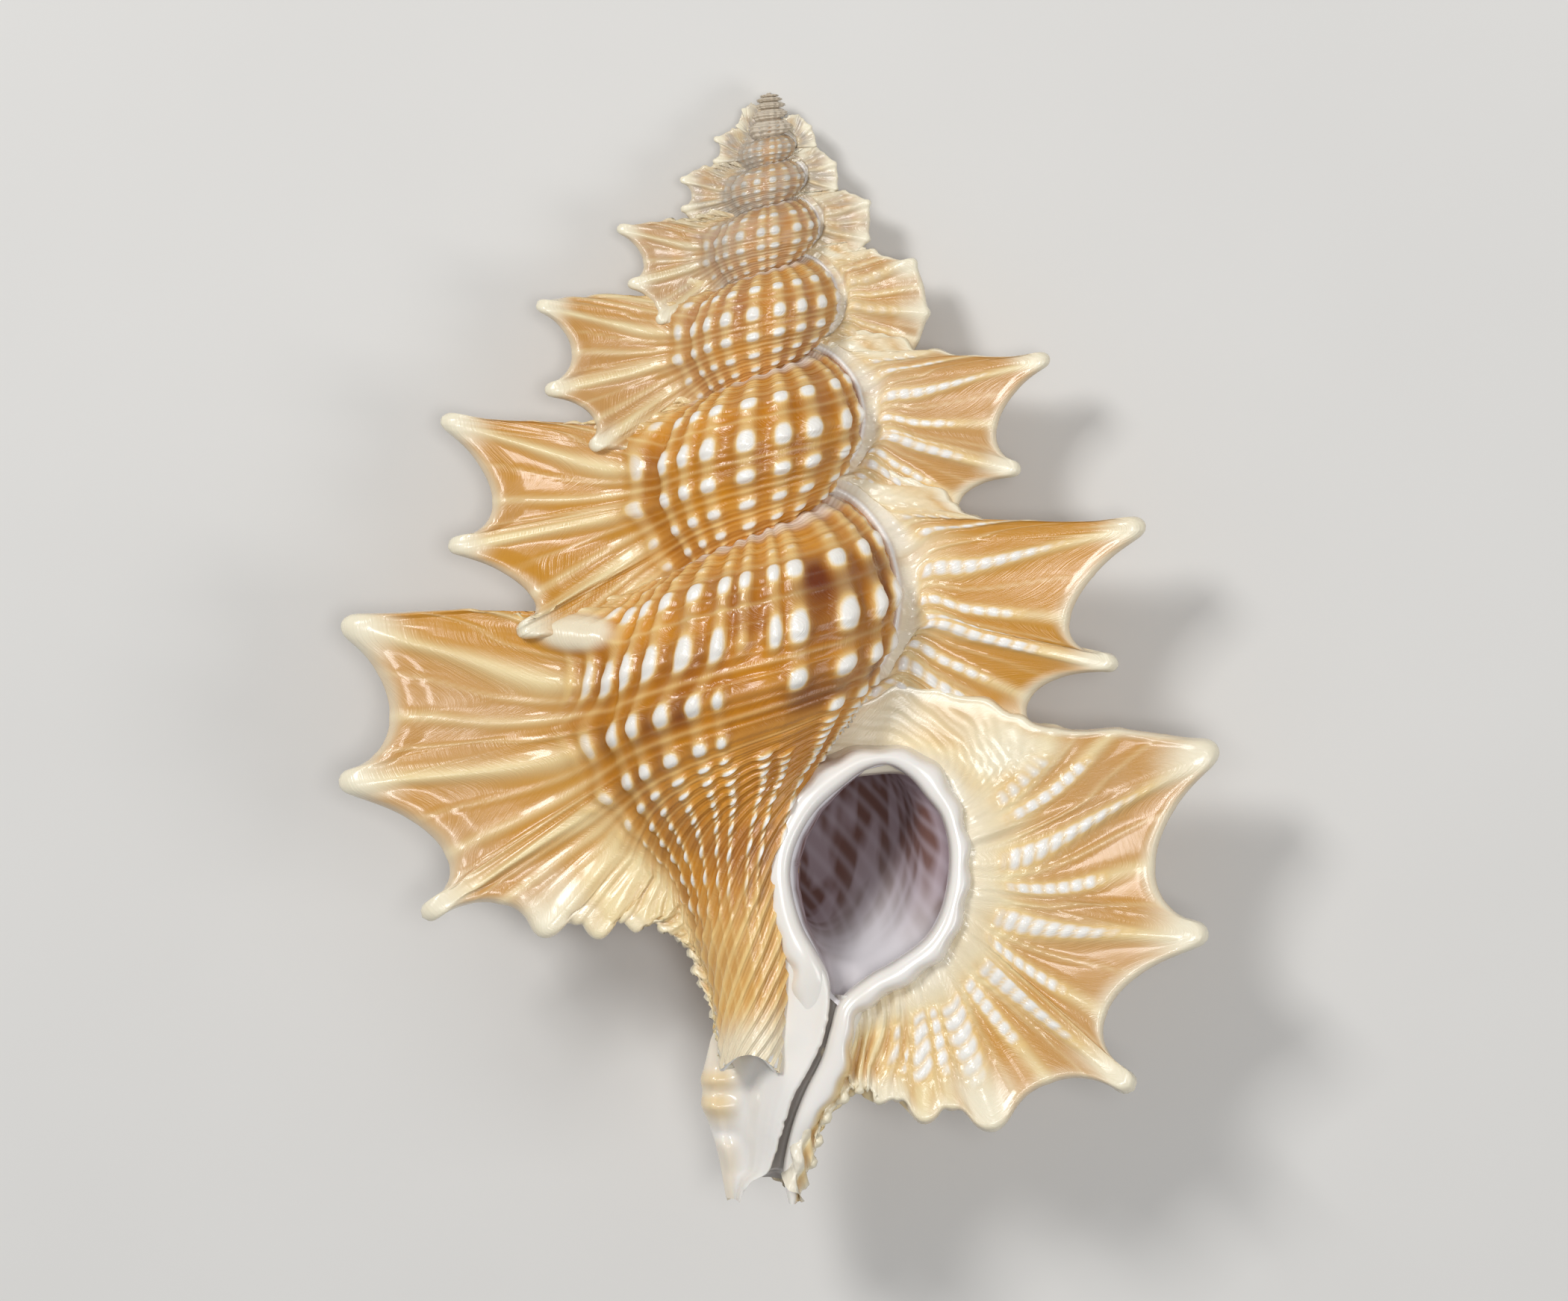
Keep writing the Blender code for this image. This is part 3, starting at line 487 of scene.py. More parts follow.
def even_columns(stage, corners, middles, count):
    """Places u that share the whorl's outline and the wing's edge evenly."""
    u = np.linspace(corners[0][0], corners[-1][0], 2000)
    lines = wing_edge(corners, middles, u), whorl_place(stage, stage + FOOT, u)
    steps = [np.linalg.norm(np.diff(line, axis=0), axis=1) for line in lines]
    steps.append(np.sum(hump(u[:-1, None] - spine_places(corners), 0.008), axis=1))
    mixed = weighted(COLUMN_SHARES, [step / step.sum() for step in steps])
    walked = np.concatenate([[0.0], np.cumsum(mixed)])
    return np.interp(np.linspace(0.0, walked[-1], count), walked, u)


def even_rows(controls, labels, count):
    """Run a smooth skin through control rows, and carry each row's labels along."""
    gaps = np.linalg.norm(np.diff(controls, axis=0), axis=-1)
    knots = np.concatenate([np.zeros_like(gaps[:1]), np.cumsum(np.maximum(gaps, 1e-4), axis=0)])
    slopes = np.gradient(controls, axis=0)
    step = np.diff(knots, axis=0)[..., None]
    pace = np.diff(controls, axis=0) / step
    slopes[1:-1] = (pace[:-1] * step[1:] + pace[1:] * step[:-1]) / (step[1:] + step[:-1])
    slopes[0], slopes[-1] = pace[0], pace[-1]
    typical = np.concatenate([[0.0], np.cumsum(np.percentile(gaps, 60, axis=1) + 0.02)])
    place = np.interp(np.linspace(0.0, typical[-1], count), typical, np.arange(len(controls)))
    i = np.minimum(place.astype(int), len(controls) - 2)
    t = (place - i)[:, None, None]
    points = bridge(controls[i], controls[i + 1], slopes[i], slopes[i + 1], step[i], t)
    share = t[..., 0]
    carried = {key: value[i] * (1 - share) + value[i + 1] * share for key, value in labels.items()}
    return points, carried


def half_turn_controls(stage, corners, middles, u, cords, lip_foot=None):
    """Control rows of a half turn: along the tube, up the wing's back, over, and down its face.

    Each row carries its growth m, its share w of the way out, and face: 0 behind, 1 in front,
    2 on the old rim.
    """
    scale = RADIUS_RATIO ** stage
    rows = [(whorl_place(stage, stage + m, u), m, 0.0, 0.0)
            for m in np.linspace(1.0 + LAP, FOOT, TUBE_CONTROLS)]
    foot = whorl_place(stage, stage + FOOT, u)
    edge = wing_edge(corners, middles, u, cords)
    flat_edge, flat_foot = edge * (1.0, 1.0, 0.0), foot * (1.0, 1.0, 0.0)
    swell = 1.0 + (SPINE_THICKNESS / WING_THICKNESS - 1.0) * np.maximum(
        0.0, 1.0 - to_spine(corners, u) / SPINE_SPREAD)
    skin = WING_THICKNESS / 2 * (THINNEST_WING + (1.0 - THINNEST_WING) * scale) * swell
    bulk = -foot[:, 2] / (TUBE_RADIUS * scale * math.sin(math.pi * FOOT))

    def wing_row(start, share, high, m=FACE_GROWTH, front=1.0):
        points = start + (flat_edge - start) * share
        points[:, 2] = high + edge[:, 2] * np.ravel(share) ** 2
        rows.append((points, m, max(np.max(share), 0.0), front))

    for share, height in FLARE:
        high = np.minimum(-height * scale * bulk, -skin)
        wing_row(flat_foot, share, high, FOOT - FLARE_GROWTH * share, 0.0)
    wing_row(flat_foot, EDGE_BACK, -skin * 0.95, FOOT - FLARE_GROWTH * EDGE_BACK, 0.0)
    wing_row(flat_foot, 1.0, 0.0 * skin, FOOT - FLARE_GROWTH, 0.5)
    inner, bank = flat_foot, 0.0
    if lip_foot is not None:
        inner, bank = points_at(*through(lip_foot, u).T, 0.0), LIP_BANK
    for share in [EDGE_FRONT] + FACE_SHARES:
        wing_row(inner, share, skin + bank * (1.0 - share) ** 2)
    if lip_foot is not None:
        reach = np.linalg.norm(flat_edge - inner, axis=1)[:, None]
        for inwards, rise in LIP_BED:
            wing_row(inner, -inwards / reach, skin + rise)
    else:
        base = whorl_place(stage, stage, u)
        before = np.stack(whorl_outline(stage, np.maximum(u - 0.01, 0.0)), -1)
        after = np.stack(whorl_outline(stage, np.minimum(u + 0.01, 1.0)), -1)
        run = after - before
        run /= np.linalg.norm(run, axis=1, keepdims=True)
        fade = np.clip((RIM_END - u) / RIM_FADE, -0.2, 1.0)
        for outset, height, front in RIM_PROFILE:
            push = outset * scale * fade
            high = height * scale * np.maximum(0.3, fade) + base[:, 2]
            rim_row = points_at(base[:, 0] + run[:, 1] * push, -base[:, 1] - run[:, 0] * push, high)
            rows.append((rim_row, FACE_GROWTH, 0.0, front))
    points, *labels = zip(*rows)
    return np.array(points), {key: np.outer(values, np.ones(len(u)))
                              for key, values in zip(("m", "w", "face"), labels)}


def cord_pattern(q, gap, widths):
    """Share of cord at cord number q, gap mm apart: whole numbers, halves and quarters."""
    whole = hump(off_cord(q) * gap, np.minimum(widths[0], 0.32 * gap))
    halves = hump(off_cord(q, 0.5) * gap, np.minimum(widths[1], 0.16 * gap))
    quarters = hump(off_cord(q * 2, 0.5) * gap / 2, np.minimum(widths[2], 0.08 * gap))
    quarters = quarters * ease(1.6, 2.8, gap / widths[2] * 0.16)
    halves = halves * ease(0.9, 1.5, gap / widths[1] * 0.34)
    return whole, halves, quarters


def flowing_noise(shape, seed, rows, columns):
    """Soft seeded unevenness from -1 to 1 over a grid, with so many humps each way."""
    rng = np.random.default_rng(seed)
    coarse = rng.uniform(-1.0, 1.0, (rows + 3, columns + 3))
    r = np.linspace(0.5, rows + 0.5, shape[0])
    c = np.linspace(0.5, columns + 0.5, shape[1])
    i, j = r.astype(int), c.astype(int)
    a, b = ease(0, 1, r - i)[:, None], ease(0, 1, c - j)[None, :]
    return ((coarse[i][:, j] * (1 - a) + coarse[i + 1][:, j] * a) * (1 - b)
            + (coarse[i][:, j + 1] * (1 - a) + coarse[i + 1][:, j + 1] * a) * b)


def rule_of_ribs(count, seed):
    """Growth places of ribs that crowd towards the wing, a little uneven."""
    rng = np.random.default_rng(seed)
    k = (np.arange(count) + 0.45 + rng.uniform(-0.16, 0.16, count)) / count
    return k ** 1.25 * 0.97


def window(start, end, soft, where):
    """One between start and end, nought outside, with soft limits."""
    return ease(start - soft, start + soft, where) * (1 - ease(end - soft, end + soft, where))


def lay_out_skin(stage, corners, middles, grid, lip_foot):
    """The plain skin of a half turn, with the parts, cords and knobs that its points belong to.

    Over the whole grid, q is the cord number, m the growth and w the share of the way out.
    """
    columns, rows = grid
    u = even_columns(stage, corners, middles, columns)
    edge_cords = LARGE_EDGE_CORDS if stage < 2 else SMALL_EDGE_CORDS
    controls, labels = half_turn_controls(stage, corners, middles, u, edge_cords, lip_foot)
    points, carried = even_rows(controls, labels, rows)
    m, w, face = carried["m"], carried["w"], carried["face"]
    q_whorl, q_edge = through(WHORL_CORDS, u)[:, 0], through(edge_cords, u)[:, 0]
    plain_q = q_whorl + (q_edge - q_whorl) * ease(0.0, 1.0, w)
    q = plain_q + (stage < 2) * TAIL_SLANT * np.maximum(m, 0.0) * ease(0.64, 0.84, u)
    skin = SimpleNamespace(stage=stage, corners=corners, u=u, points=points, m=m, w=w, face=face, q=q,
                           plain_q=plain_q, scale=RADIUS_RATIO ** stage, newest=lip_foot is not None)
    skin.whorl = (1.0 - ease(0.02, 0.3, w)) * (1.0 - ease(0.0, 0.5, face))
    skin.back = ease(0.02, 0.35, w) * (1.0 - ease(0.2, 0.8, face))
    skin.front = ease(0.5, 1.0, face) * (1.0 - ease(1.0, 1.6, face))
    skin.rim = ease(1.0, 1.9, face)
    skin.tail = ease(3.7, 4.8, plain_q)
    skin.fluted = ease(5.5, 7.0, plain_q)
    skin.upper = 1 - ease(0.8, 1.4, q)
    skin.calm = 1 - 0.85 * (1 - ease(-0.8, 0.5, q))
    skin.small = ease(4.0, 7.0, stage)
    skin.wobble = flowing_noise(m.shape, 100 + stage, *UNEVEN_HUMPS)
    gap = np.linalg.norm(np.gradient(points, axis=1), axis=-1) / np.maximum(np.gradient(q, axis=1), 1e-4)
    behind = cord_pattern(q, gap, (WHORL_CORD + (BACK_CORD - WHORL_CORD) * skin.back) * skin.scale)
    ahead = cord_pattern(q, gap, FACE_CORD * skin.scale)
    skin.cords = [b * (1 - skin.front) + a * skin.front for b, a in zip(behind, ahead)]
    skin.reach = np.linalg.norm(controls[TUBE_CONTROLS - 1] - wing_edge(corners, middles, u), axis=-1)
    phase = w * skin.reach / (KNOB_GAP * (0.5 + 0.5 * skin.scale)) + 0.35 * np.round(q * 2)
    skin.knob = (0.5 + 0.5 * np.cos(2 * math.pi * phase)) ** 0.5
    skin.knobbed = ease(0.10, 0.26, w) * (1 - ease(0.60, 0.80, w + 0.05 * skin.wobble))
    return skin


def place_beads(skin, places, bare, lean):
    """Ribs across a half turn, except where it is bare, and a bead where one crosses a cord."""
    leaning = skin.m + lean * ease(1.0, 2.0, skin.q) * (1.0 - ease(0.35, 0.6, skin.m))
    skin.rib = 0.0
    for place, gap in zip(places, np.gradient(places)):
        skin.rib = np.maximum(skin.rib, hump(leaning - place, (0.30 - 0.13 * skin.tail) * gap, 2.6))
    for m0, m1, q0, q1, much in bare:
        skin.rib = skin.rib * (1.0 - much * window(m0, m1, 0.02, skin.m) * window(q0, q1, 0.25, skin.q))
    skin.bead_row = hump(off_cord(skin.q), through(BEAD_LENGTH, skin.plain_q)[..., 0], 2.4)
    small_row = hump(off_cord(skin.q, 0.5), 0.16, 2.2) * skin.tail
    skin.bead = skin.rib * np.maximum(skin.bead_row * np.where(skin.q < -0.6, 0.6, 1.0), small_row * 0.7)


def relief(skin):
    """Height in mm of the sculpture over the plain skin of a half turn."""
    w, tail, whole, halves = skin.w, skin.tail, skin.cords[0], skin.cords[1]
    bead_rise = through(BEAD_RISE, skin.plain_q)[..., 0] * (1.0 + 0.25 * skin.wobble)
    on_whorl = (bead_rise * skin.bead + RIB_RISE * (1 + skin.upper) * skin.rib * (1 - tail * 0.8)
                + weighted(WHORL_RELIEF, skin.cords) + TAIL_CORD_RISE * tail * whole)
    on_back = (1.0 - 0.55 * ease(0.75, 1.0, w)) * (
        weighted(BACK_RELIEF, skin.cords) * (1 - tail) + FLUTE_RISE * tail * np.maximum(whole, halves))
    on_face = FLUTE_RISE * skin.fluted * whole + (
        weighted(FACE_RELIEF, skin.cords) * (0.65 + 0.6 * skin.knob * skin.knobbed)
        * (1 - 0.75 * ease(0.7, 1.0, w)) * skin.calm * (1 - skin.fluted))
    height = skin.scale * (skin.whorl * on_whorl + skin.back * on_back + skin.front * on_face
                           + UNEVEN_RISE * skin.wobble)
    if skin.stage > 1:
        height = height * (1 - 0.85 * below_spines(skin.corners, skin.u) * ease(0.1, 0.4, w))
    return height


def cream_part(skin):
    """How cream the skin is: its cords, the ribs' crests, and the face next to the mouth."""
    w, tail, wobble = skin.w, skin.tail, skin.wobble
    whole, halves, quarters = skin.cords
    low_neck = ease(7.0, 10.0, skin.plain_q)
    striped = 0.62 if skin.stage > 1 else 0.35 + 0.25 * skin.upper
    on_whorl = ((0.15 + 0.6 * low_neck) * whole + (0.4 - 0.15 * tail) * halves ** 2 + 0.2 * quarters ** 2
                + striped * skin.rib ** 2 * (1 - 0.5 * tail) + 0.25 * low_neck)
    on_back = weighted(BACK_CREAM, skin.cords) + 0.25 * tail
    on_face = (skin.calm * weighted(FACE_CREAM, skin.cords) + (1 - skin.calm) * (0.75 + 0.5 * wobble)
               + (0.75 if skin.stage < 4 else 0.5) * (1 - ease(0.05, 0.45, w + 0.08 * wobble)))
    cream = np.clip(skin.whorl * on_whorl + skin.back * on_back + skin.front * on_face, 0, 1)
    return np.clip(cream * (1 + 0.2 * wobble), 0, 1)


def bead_white(skin):
    """How white the beads are on the whorl, and the knobs on the wing's face."""
    on_whorl = (ease(0.25, 0.9, skin.bead) * skin.whorl * ease(-2.4, -0.8, skin.q)
                * (1 - 0.9 * ease(7.0, 9.5, skin.plain_q)))
    string = ease(0.25, 0.85, np.maximum(skin.cords[0], skin.cords[1]))
    on_face = (skin.front * string * (0.4 + 0.6 * skin.knob) * skin.knobbed * (1 - skin.fluted)
               * skin.calm * (1.0 - 0.7 * skin.small))
    return np.maximum(on_whorl, on_face)


def stain_part(skin, stains):
    """Brown stains between the beads, blotched as on the real shell."""
    stain = 0.0
    for m0, m1, q0, q1, much in stains:
        stain = np.maximum(stain, much * window(m0, m1, 0.05, skin.m)
                           * hump(skin.q - (q0 + q1) / 2, (q1 - q0) / 2, 3.0))
    blotch = 0.75 + 0.45 * flowing_noise(skin.m.shape, 300 + skin.stage, *BLOTCH_HUMPS)
    between = 1.0 - np.clip(skin.rib * skin.bead_row * 1.5, 0, 1)
    return np.clip(stain * blotch * between, 0, 1) * skin.whorl


def pale_part(skin, middles, swollen):
    """How pale the skin is: the wing's edge, its spines' tips, the neck's end and the callus."""
    w, wobble, front = skin.w, skin.wobble, skin.front
    tips = wing_edge(skin.corners, middles, spine_places(skin.corners[:8]))
    to_tip = np.min(np.linalg.norm(skin.points[:, :, None, :2] - tips[:, :2], axis=-1), axis=2)
    to_edge = (1 - w) * skin.reach
    at_edge = (0.6 + 0.35 * front) * (1 - ease(0.0, 1.7, to_edge / skin.scale ** 0.85 + 0.4 * wobble))
    at_tip = 1 - ease(0.4, 4.4, to_tip / skin.scale ** 0.85 + 0.8 * wobble)
    pale = np.maximum(at_edge, at_tip) * ease(0.05, 0.4, w)
    pale = np.maximum(pale, front * (1 - ease(-0.5, 0.5, skin.q)) * np.clip(0.5 + 0.6 * wobble, 0, 1))
    if skin.stage < 2:
        pale = np.maximum(pale, 0.8 * ease(0.94, 0.985, skin.u) * (w < 0.3))
    return np.maximum(pale, 0.9 * ease(0.1, 0.7, swollen))


def white_part(skin):
    """Porcelain white of the old mouth's rim, the face beside it and the suture."""
    near_rim = skin.front * (1 - ease(0.0, 0.28, skin.w + 0.05 * skin.wobble)) * (0.42 + 0.2 * skin.wobble)
    suture = (1 - ease(-2.9, -1.9, skin.q)) * skin.whorl
    return np.clip(np.clip(skin.rim * 1.2, 0, 1) + near_rim + 0.7 * suture, 0, 1)


def age_grey_and_painted_shade(skin, age):
    """Grey of age, plus painted shade at the roots of the small wings and along the old mouths."""
    # Painted shade in the hollow where a small wing rises from the whorl, and in a strip beside each old
    # mouth's rim.
    painted_root_shade = 0.35 * skin.small * skin.whorl * (1 - ease(0.12, 0.5, skin.m))
    painted_mouth_shade = 0.0 if skin.newest else 0.18 * skin.front * (1 - ease(0.0, 0.15, skin.w))
    return np.clip(age * (0.85 + 0.4 * skin.wobble) + painted_root_shade + painted_mouth_shade, 0, 1)


def dress_half_turn(name, stage, corners, middles, grid, ribs, stains, bare=(), age=0.0, lip_foot=None,
                    lean=0.0, callus=None):
    """One half turn with its wing, sculptured and coloured, as one piece."""
    skin = lay_out_skin(stage, corners, middles, grid, lip_foot)
    place_beads(skin, ribs, bare, lean)
    height, swollen = relief(skin), np.zeros_like(skin.m)
    if callus is not None:
        out, down, long, wide, rise = callus
        away = ((skin.points[..., 0] - out) / long) ** 2 + ((-skin.points[..., 1] - down) / wide) ** 2
        swollen = np.exp(-away ** 1.5) * (skin.face < 0.5)
        height = height * (1 - 0.8 * swollen) + rise * swollen
    skin.points = skin.points + outward(skin.points) * height[..., None]
    steps = np.diff(skin.points, axis=0, prepend=skin.points[:1])
    grown = np.cumsum(np.linalg.norm(steps, axis=-1), axis=0)
    skin_object(name, skin.points, {
        "sculpture": mask(bead_white(skin), cream_part(skin), stain_part(skin, stains)),
        "place": mask(skin.q, grown, 1 - skin.whorl),
        # The third layer is grey of age together with painted shade.
        "tint": mask(pale_part(skin, middles, swollen), white_part(skin), age_grey_and_painted_shade(skin, age)),
    }, SHELL_SKIN, side=(-1.0) ** stage)


# Wings by half turn: the edge's corners (u, out, down, lift) and the middles between (out, down)
SPIRE_WINGS = {
    13: ([(0.00, 0.7, 1.2, 0.0), (0.32, 1.5, 1.3, 0.0), (0.52, 1.8, 2.2, 0.0), (0.84, 0.6, 3.4, 0.0)],
         [(1.1, 1.0), (1.7, 1.8), (1.4, 3.0)]),
    12: ([(0.00, 0.9, 1.8, 0.0), (0.32, 2.3, 2.2, 0.0), (0.52, 2.6, 3.2, 0.0), (0.84, 0.8, 4.4, 0.0)],
         [(1.6, 1.6), (2.6, 2.7), (2.0, 4.0)]),
    11: ([(0.00, 1.3, 2.5, 0.0), (0.32, 3.1, 3.0, 0.0), (0.52, 3.1, 4.3, 0.0), (0.84, 1.1, 5.7, 0.0)],
         [(2.1, 2.5), (2.8, 3.6), (2.5, 5.1)]),
    10: ([(0.00, 1.5, 3.7, 0.0), (0.32, 3.8, 4.3, 0.0), (0.52, 3.9, 5.7, 0.0), (0.84, 1.3, 7.2, 0.0)],
         [(2.7, 3.5), (4.0, 5.0), (3.1, 6.6)]),
    9: ([(0.00, 2.1, 4.4, 0.0), (0.12, 3.3, 4.7, 0.0), (0.32, 5.0, 5.4, 0.0), (0.52, 4.9, 7.1, 0.0),
         (0.84, 1.7, 9.2, 0.0)],
        [(2.8, 4.5), (4.3, 4.9), (4.4, 6.3), (3.9, 8.2)]),
    8: ([(0.00, 2.1, 6.3, 0.0), (0.12, 4.0, 6.0, 0.0), (0.32, 5.8, 6.5, 0.1), (0.52, 5.8, 8.6, 0.1),
         (0.84, 2.0, 11.0, 0.0)],
        [(3.1, 6.0), (5.0, 6.1), (5.9, 7.5), (4.6, 10.0)]),
    7: ([(0.00, 3.2, 7.3, 0.0), (0.12, 5.1, 8.0, 0.0), (0.32, 8.6, 8.3, -0.2), (0.52, 7.9, 11.5, -0.1),
         (0.66, 6.2, 13.6, -0.5), (0.84, 2.6, 14.4, -0.4)],
        [(4.2, 7.7), (6.8, 8.0), (7.1, 10.2), (6.5, 12.6), (4.6, 14.1)]),
    6: ([(0.00, 2.7, 10.4, 0.0), (0.12, 5.6, 9.2, 0.0), (0.32, 8.5, 9.9, 0.2), (0.52, 9.3, 12.8, 0.2),
         (0.66, 8.4, 15.2, -0.5), (0.84, 3.2, 17.2, -0.4)],
        [(4.2, 9.0), (7.0, 9.7), (9.1, 11.3), (9.0, 14.2), (6.0, 16.4)]),
    5: ([(0.00, 4.2, 11.4, 0.0), (0.12, 9.0, 12.8, 0.5), (0.32, 13.1, 12.9, -1.2),
         (0.52, 12.6, 17.8, -0.6), (0.66, 9.9, 21.0, -0.9), (0.84, 4.0, 22.0, -0.6)],
        [(7.0, 12.3), (11.4, 12.5), (11.1, 15.6), (9.9, 19.2), (7.2, 21.4)]),
    4: ([(0.00, 3.6, 15.6, 0.0), (0.12, 8.8, 15.3, 0.3), (0.32, 16.4, 15.3, 1.1),
         (0.52, 14.9, 21.8, 0.6), (0.66, 12.0, 25.0, -0.9), (0.84, 4.5, 26.2, -0.6)],
        [(6.2, 14.2), (12.2, 15.4), (13.5, 19.2), (11.7, 23.3), (8.4, 25.8)]),
    3: ([(0.00, 5.2, 18.3, 0.0), (0.12, 10.2, 20.4, 0.0), (0.32, 18.6, 19.6, -0.7),
         (0.52, 18.1, 26.9, -0.4), (0.68, 13.9, 31.9, -1.4), (0.84, 5.0, 32.6, -0.7)],
        [(8.0, 19.2), (13.4, 19.8), (15.5, 24.3), (13.2, 29.6), (9.5, 32.4)]),
    2: ([(0.00, 4.8, 23.6, 0.0), (0.10, 10.5, 23.5, 0.0), (0.16, 12.4, 25.2, 0.4),
         (0.32, 22.2, 24.8, 1.4), (0.52, 20.9, 32.9, 0.8), (0.66, 16.3, 37.5, -1.3),
         (0.84, 6.0, 39.0, -0.8)],
        [(7.4, 22.4), (11.4, 24.2), (16.6, 24.9), (17.9, 30.4), (16.1, 34.6), (11.0, 38.2)]),
}
SPIRE_MAKE = {  # columns, rows, ribs, grey of age
    13: (50, 90, 8, 0.9), 12: (56, 90, 8, 0.9), 11: (60, 90, 9, 0.85), 10: (70, 90, 9, 0.8),
    9: (80, 100, 9, 0.75), 8: (90, 110, 10, 0.6), 7: (110, 130, 10, 0.4), 6: (130, 140, 10, 0.25),
    5: (150, 170, 10, 0.12), 4: (170, 190, 10, 0.05), 3: (195, 220, 10, 0.0), 2: (210, 245, 11, 0.0),
}
for stage, (corners, middles) in SPIRE_WINGS.items():
    columns, rows, ribs, age = SPIRE_MAKE[stage]
    stained = max(0.0, 1.0 - 0.13 * stage)
    dress_half_turn(f"half_turn_{stage}", stage, corners, middles, (columns, rows),
                    rule_of_ribs(ribs, stage), age=age,
                    stains=[(0.55, 0.95, -0.6, 3.2, 0.6 * stained), (0.08, 0.5, 0.7, 2.3, 0.45 * stained)])


# Body whorl
# The half turn before the last, wound over the mouth's left side and out to the largest left
# wing. Its lower end narrows to the neck, which ends below in the old, broken canal.
OLD_CANAL = [  # down, centre out, centre lift, half width, half depth
    (40.0, -0.9, 0.0, 4.0, 4.9), (44.0, -0.8, 0.1, 3.4, 4.2), (47.0, -0.6, 0.3, 3.0, 3.7),
    (50.0, -0.2, 0.6, 2.8, 3.2), (53.0, 0.1, 1.0, 2.2, 2.4), (57.0, 0.0, 1.6, 1.6, 1.5),
]
CANAL_TURNS[1] = OLD_CANAL
BODY_CORNERS = [
    (0.00, 5.9, 28.9, 0.0), (0.10, 10.6, 31.2, 0.0), (0.16, 14.4, 31.7, 0.0),
    (0.30, 24.2, 31.6, 0.0), (0.48, 24.2, 40.8, 0.0), (0.62, 19.2, 48.5, -0.1),
    (0.72, 12.1, 49.1, 0.0), (0.78, 9.0, 48.9, 0.0), (0.83, 6.9, 48.5, 0.0),
    (0.87, 5.0, 48.5, 0.0), (0.93, 2.7, 51.4, 0.0), (1.00, 1.7, 55.0, 0.0),
]
BODY_MIDDLES = [
    (8.3, 30.6), (12.6, 31.0), (18.0, 30.8), (21.2, 37.0), (17.9, 44.6), (15.0, 47.5),
    (10.4, 48.4), (7.8, 48.2), (5.9, 48.0), (3.6, 49.6), (2.1, 53.0),
]
BODY_RIBS = [0.05, 0.09, 0.132, 0.195, 0.263, 0.344, 0.418, 0.468, 0.535, 0.587, 0.708, 0.81, 0.9]
# Bare patches and stains: from and to in growth, from and to in cord number, strength
BODY_BARE = [(0.43, 0.56, 1.5, 4.6, 1.0), (0.56, 0.68, 2.6, 6.0, 0.9), (0.44, 0.52, 0.6, 1.6, 0.5)]
BODY_STAINS = [
    (0.08, 0.38, 0.7, 1.35, 0.8), (0.08, 0.36, 1.75, 2.4, 0.8), (0.10, 0.34, 2.8, 3.3, 0.5),
    (0.56, 0.90, -0.3, 1.6, 1.0), (0.56, 0.90, 1.7, 3.0, 1.0), (0.30, 0.6, -0.6, 1.0, 0.35),
]
RIB_LEAN = 0.055  # growth by which the large ribs lean below the first bead row
BODY_CALLUS = (10.4, 31.9, 2.3, 1.0, 0.9)  # out, down, half length, half width, rise
dress_half_turn("body_whorl", 1, BODY_CORNERS, BODY_MIDDLES, (320, 290), BODY_RIBS, BODY_STAINS,
                BODY_BARE, lean=RIB_LEAN, callus=BODY_CALLUS)


# Last half turn
# The newest growth, round the back and out to the large right wing whose face holds the mouth.
# Its lower end is the back of the open canal.
NEW_CANAL = [  # down, centre out, centre lift, half width, half depth
    (42.0, 2.0, -0.2, 5.0, 6.4), (46.0, 1.9, -0.3, 4.6, 5.3), (50.0, 1.7, -0.4, 4.1, 4.4),
    (52.7, 1.6, -0.6, 3.2, 3.5), (55.0, 1.4, -1.0, 3.3, 3.1), (57.5, 1.25, -1.6, 3.6, 2.9),
    (59.5, 1.0, -2.2, 3.2, 2.8), (62.0, 1.0, -2.9, 2.45, 2.6), (64.9, 0.95, -3.7, 1.8, 2.4),
]
CANAL_TURNS[0] = NEW_CANAL
LAST_CORNERS = [
    (0.00, 4.8, 37.4, 0.0), (0.10, 13.3, 35.7, 0.0), (0.16, 17.3, 37.4, 0.0),
    (0.30, 26.8, 37.8, -0.4), (0.48, 26.5, 48.5, 0.5), (0.62, 22.4, 57.5, 1.1),
    (0.72, 14.2, 59.8, 1.3), (0.78, 10.3, 59.1, 1.1), (0.83, 7.8, 58.1, 0.9),
    (0.87, 6.5, 57.5, 0.8), (0.91, 5.2, 58.0, 0.6), (0.95, 3.4, 61.6, -0.2), (1.00, 2.8, 64.9, -1.3),
]
LAST_MIDDLES = [
    (8.2, 34.8), (15.6, 36.4), (21.8, 36.9), (23.2, 44.6), (20.6, 53.0), (17.8, 57.0),
    (12.0, 58.6), (9.0, 58.2), (7.1, 57.4), (5.9, 57.3), (4.0, 59.8), (3.1, 63.2),
]
LAST_RIBS = [0.01, 0.05, 0.095, 0.14, 0.206, 0.273, 0.384, 0.469, 0.611, 0.75, 0.86, 0.95]
LAST_BARE = [(0.5, 0.58, 1.5, 2.6, 0.9)]
LAST_STAINS = [
    (0.1, 0.45, 0.7, 1.35, 0.8), (0.1, 0.5, 1.7, 2.5, 0.8), (0.12, 0.4, 2.7, 3.3, 0.5),
    (0.5, 0.95, -0.3, 1.5, 0.9), (0.5, 0.95, 1.8, 3.4, 0.9),
]
LIP_FOOT = [  # where the wing's face ends under the lip: u, out, down
    (0.0, 3.1, 39.4), (0.03, 5.5, 39.1), (0.055, 8.3, 38.8), (0.10, 10.87, 39.47),
    (0.16, 11.85, 40.95), (0.30, 12.4, 43.34), (0.48, 12.42, 46.19), (0.62, 12.02, 48.45),
    (0.72, 10.78, 51.18), (0.78, 8.9, 52.37), (0.83, 7.33, 53.35), (0.87, 5.95, 54.33),
    (0.91, 4.74, 56.36), (0.95, 3.46, 59.64), (1.00, 2.66, 63.9),
]
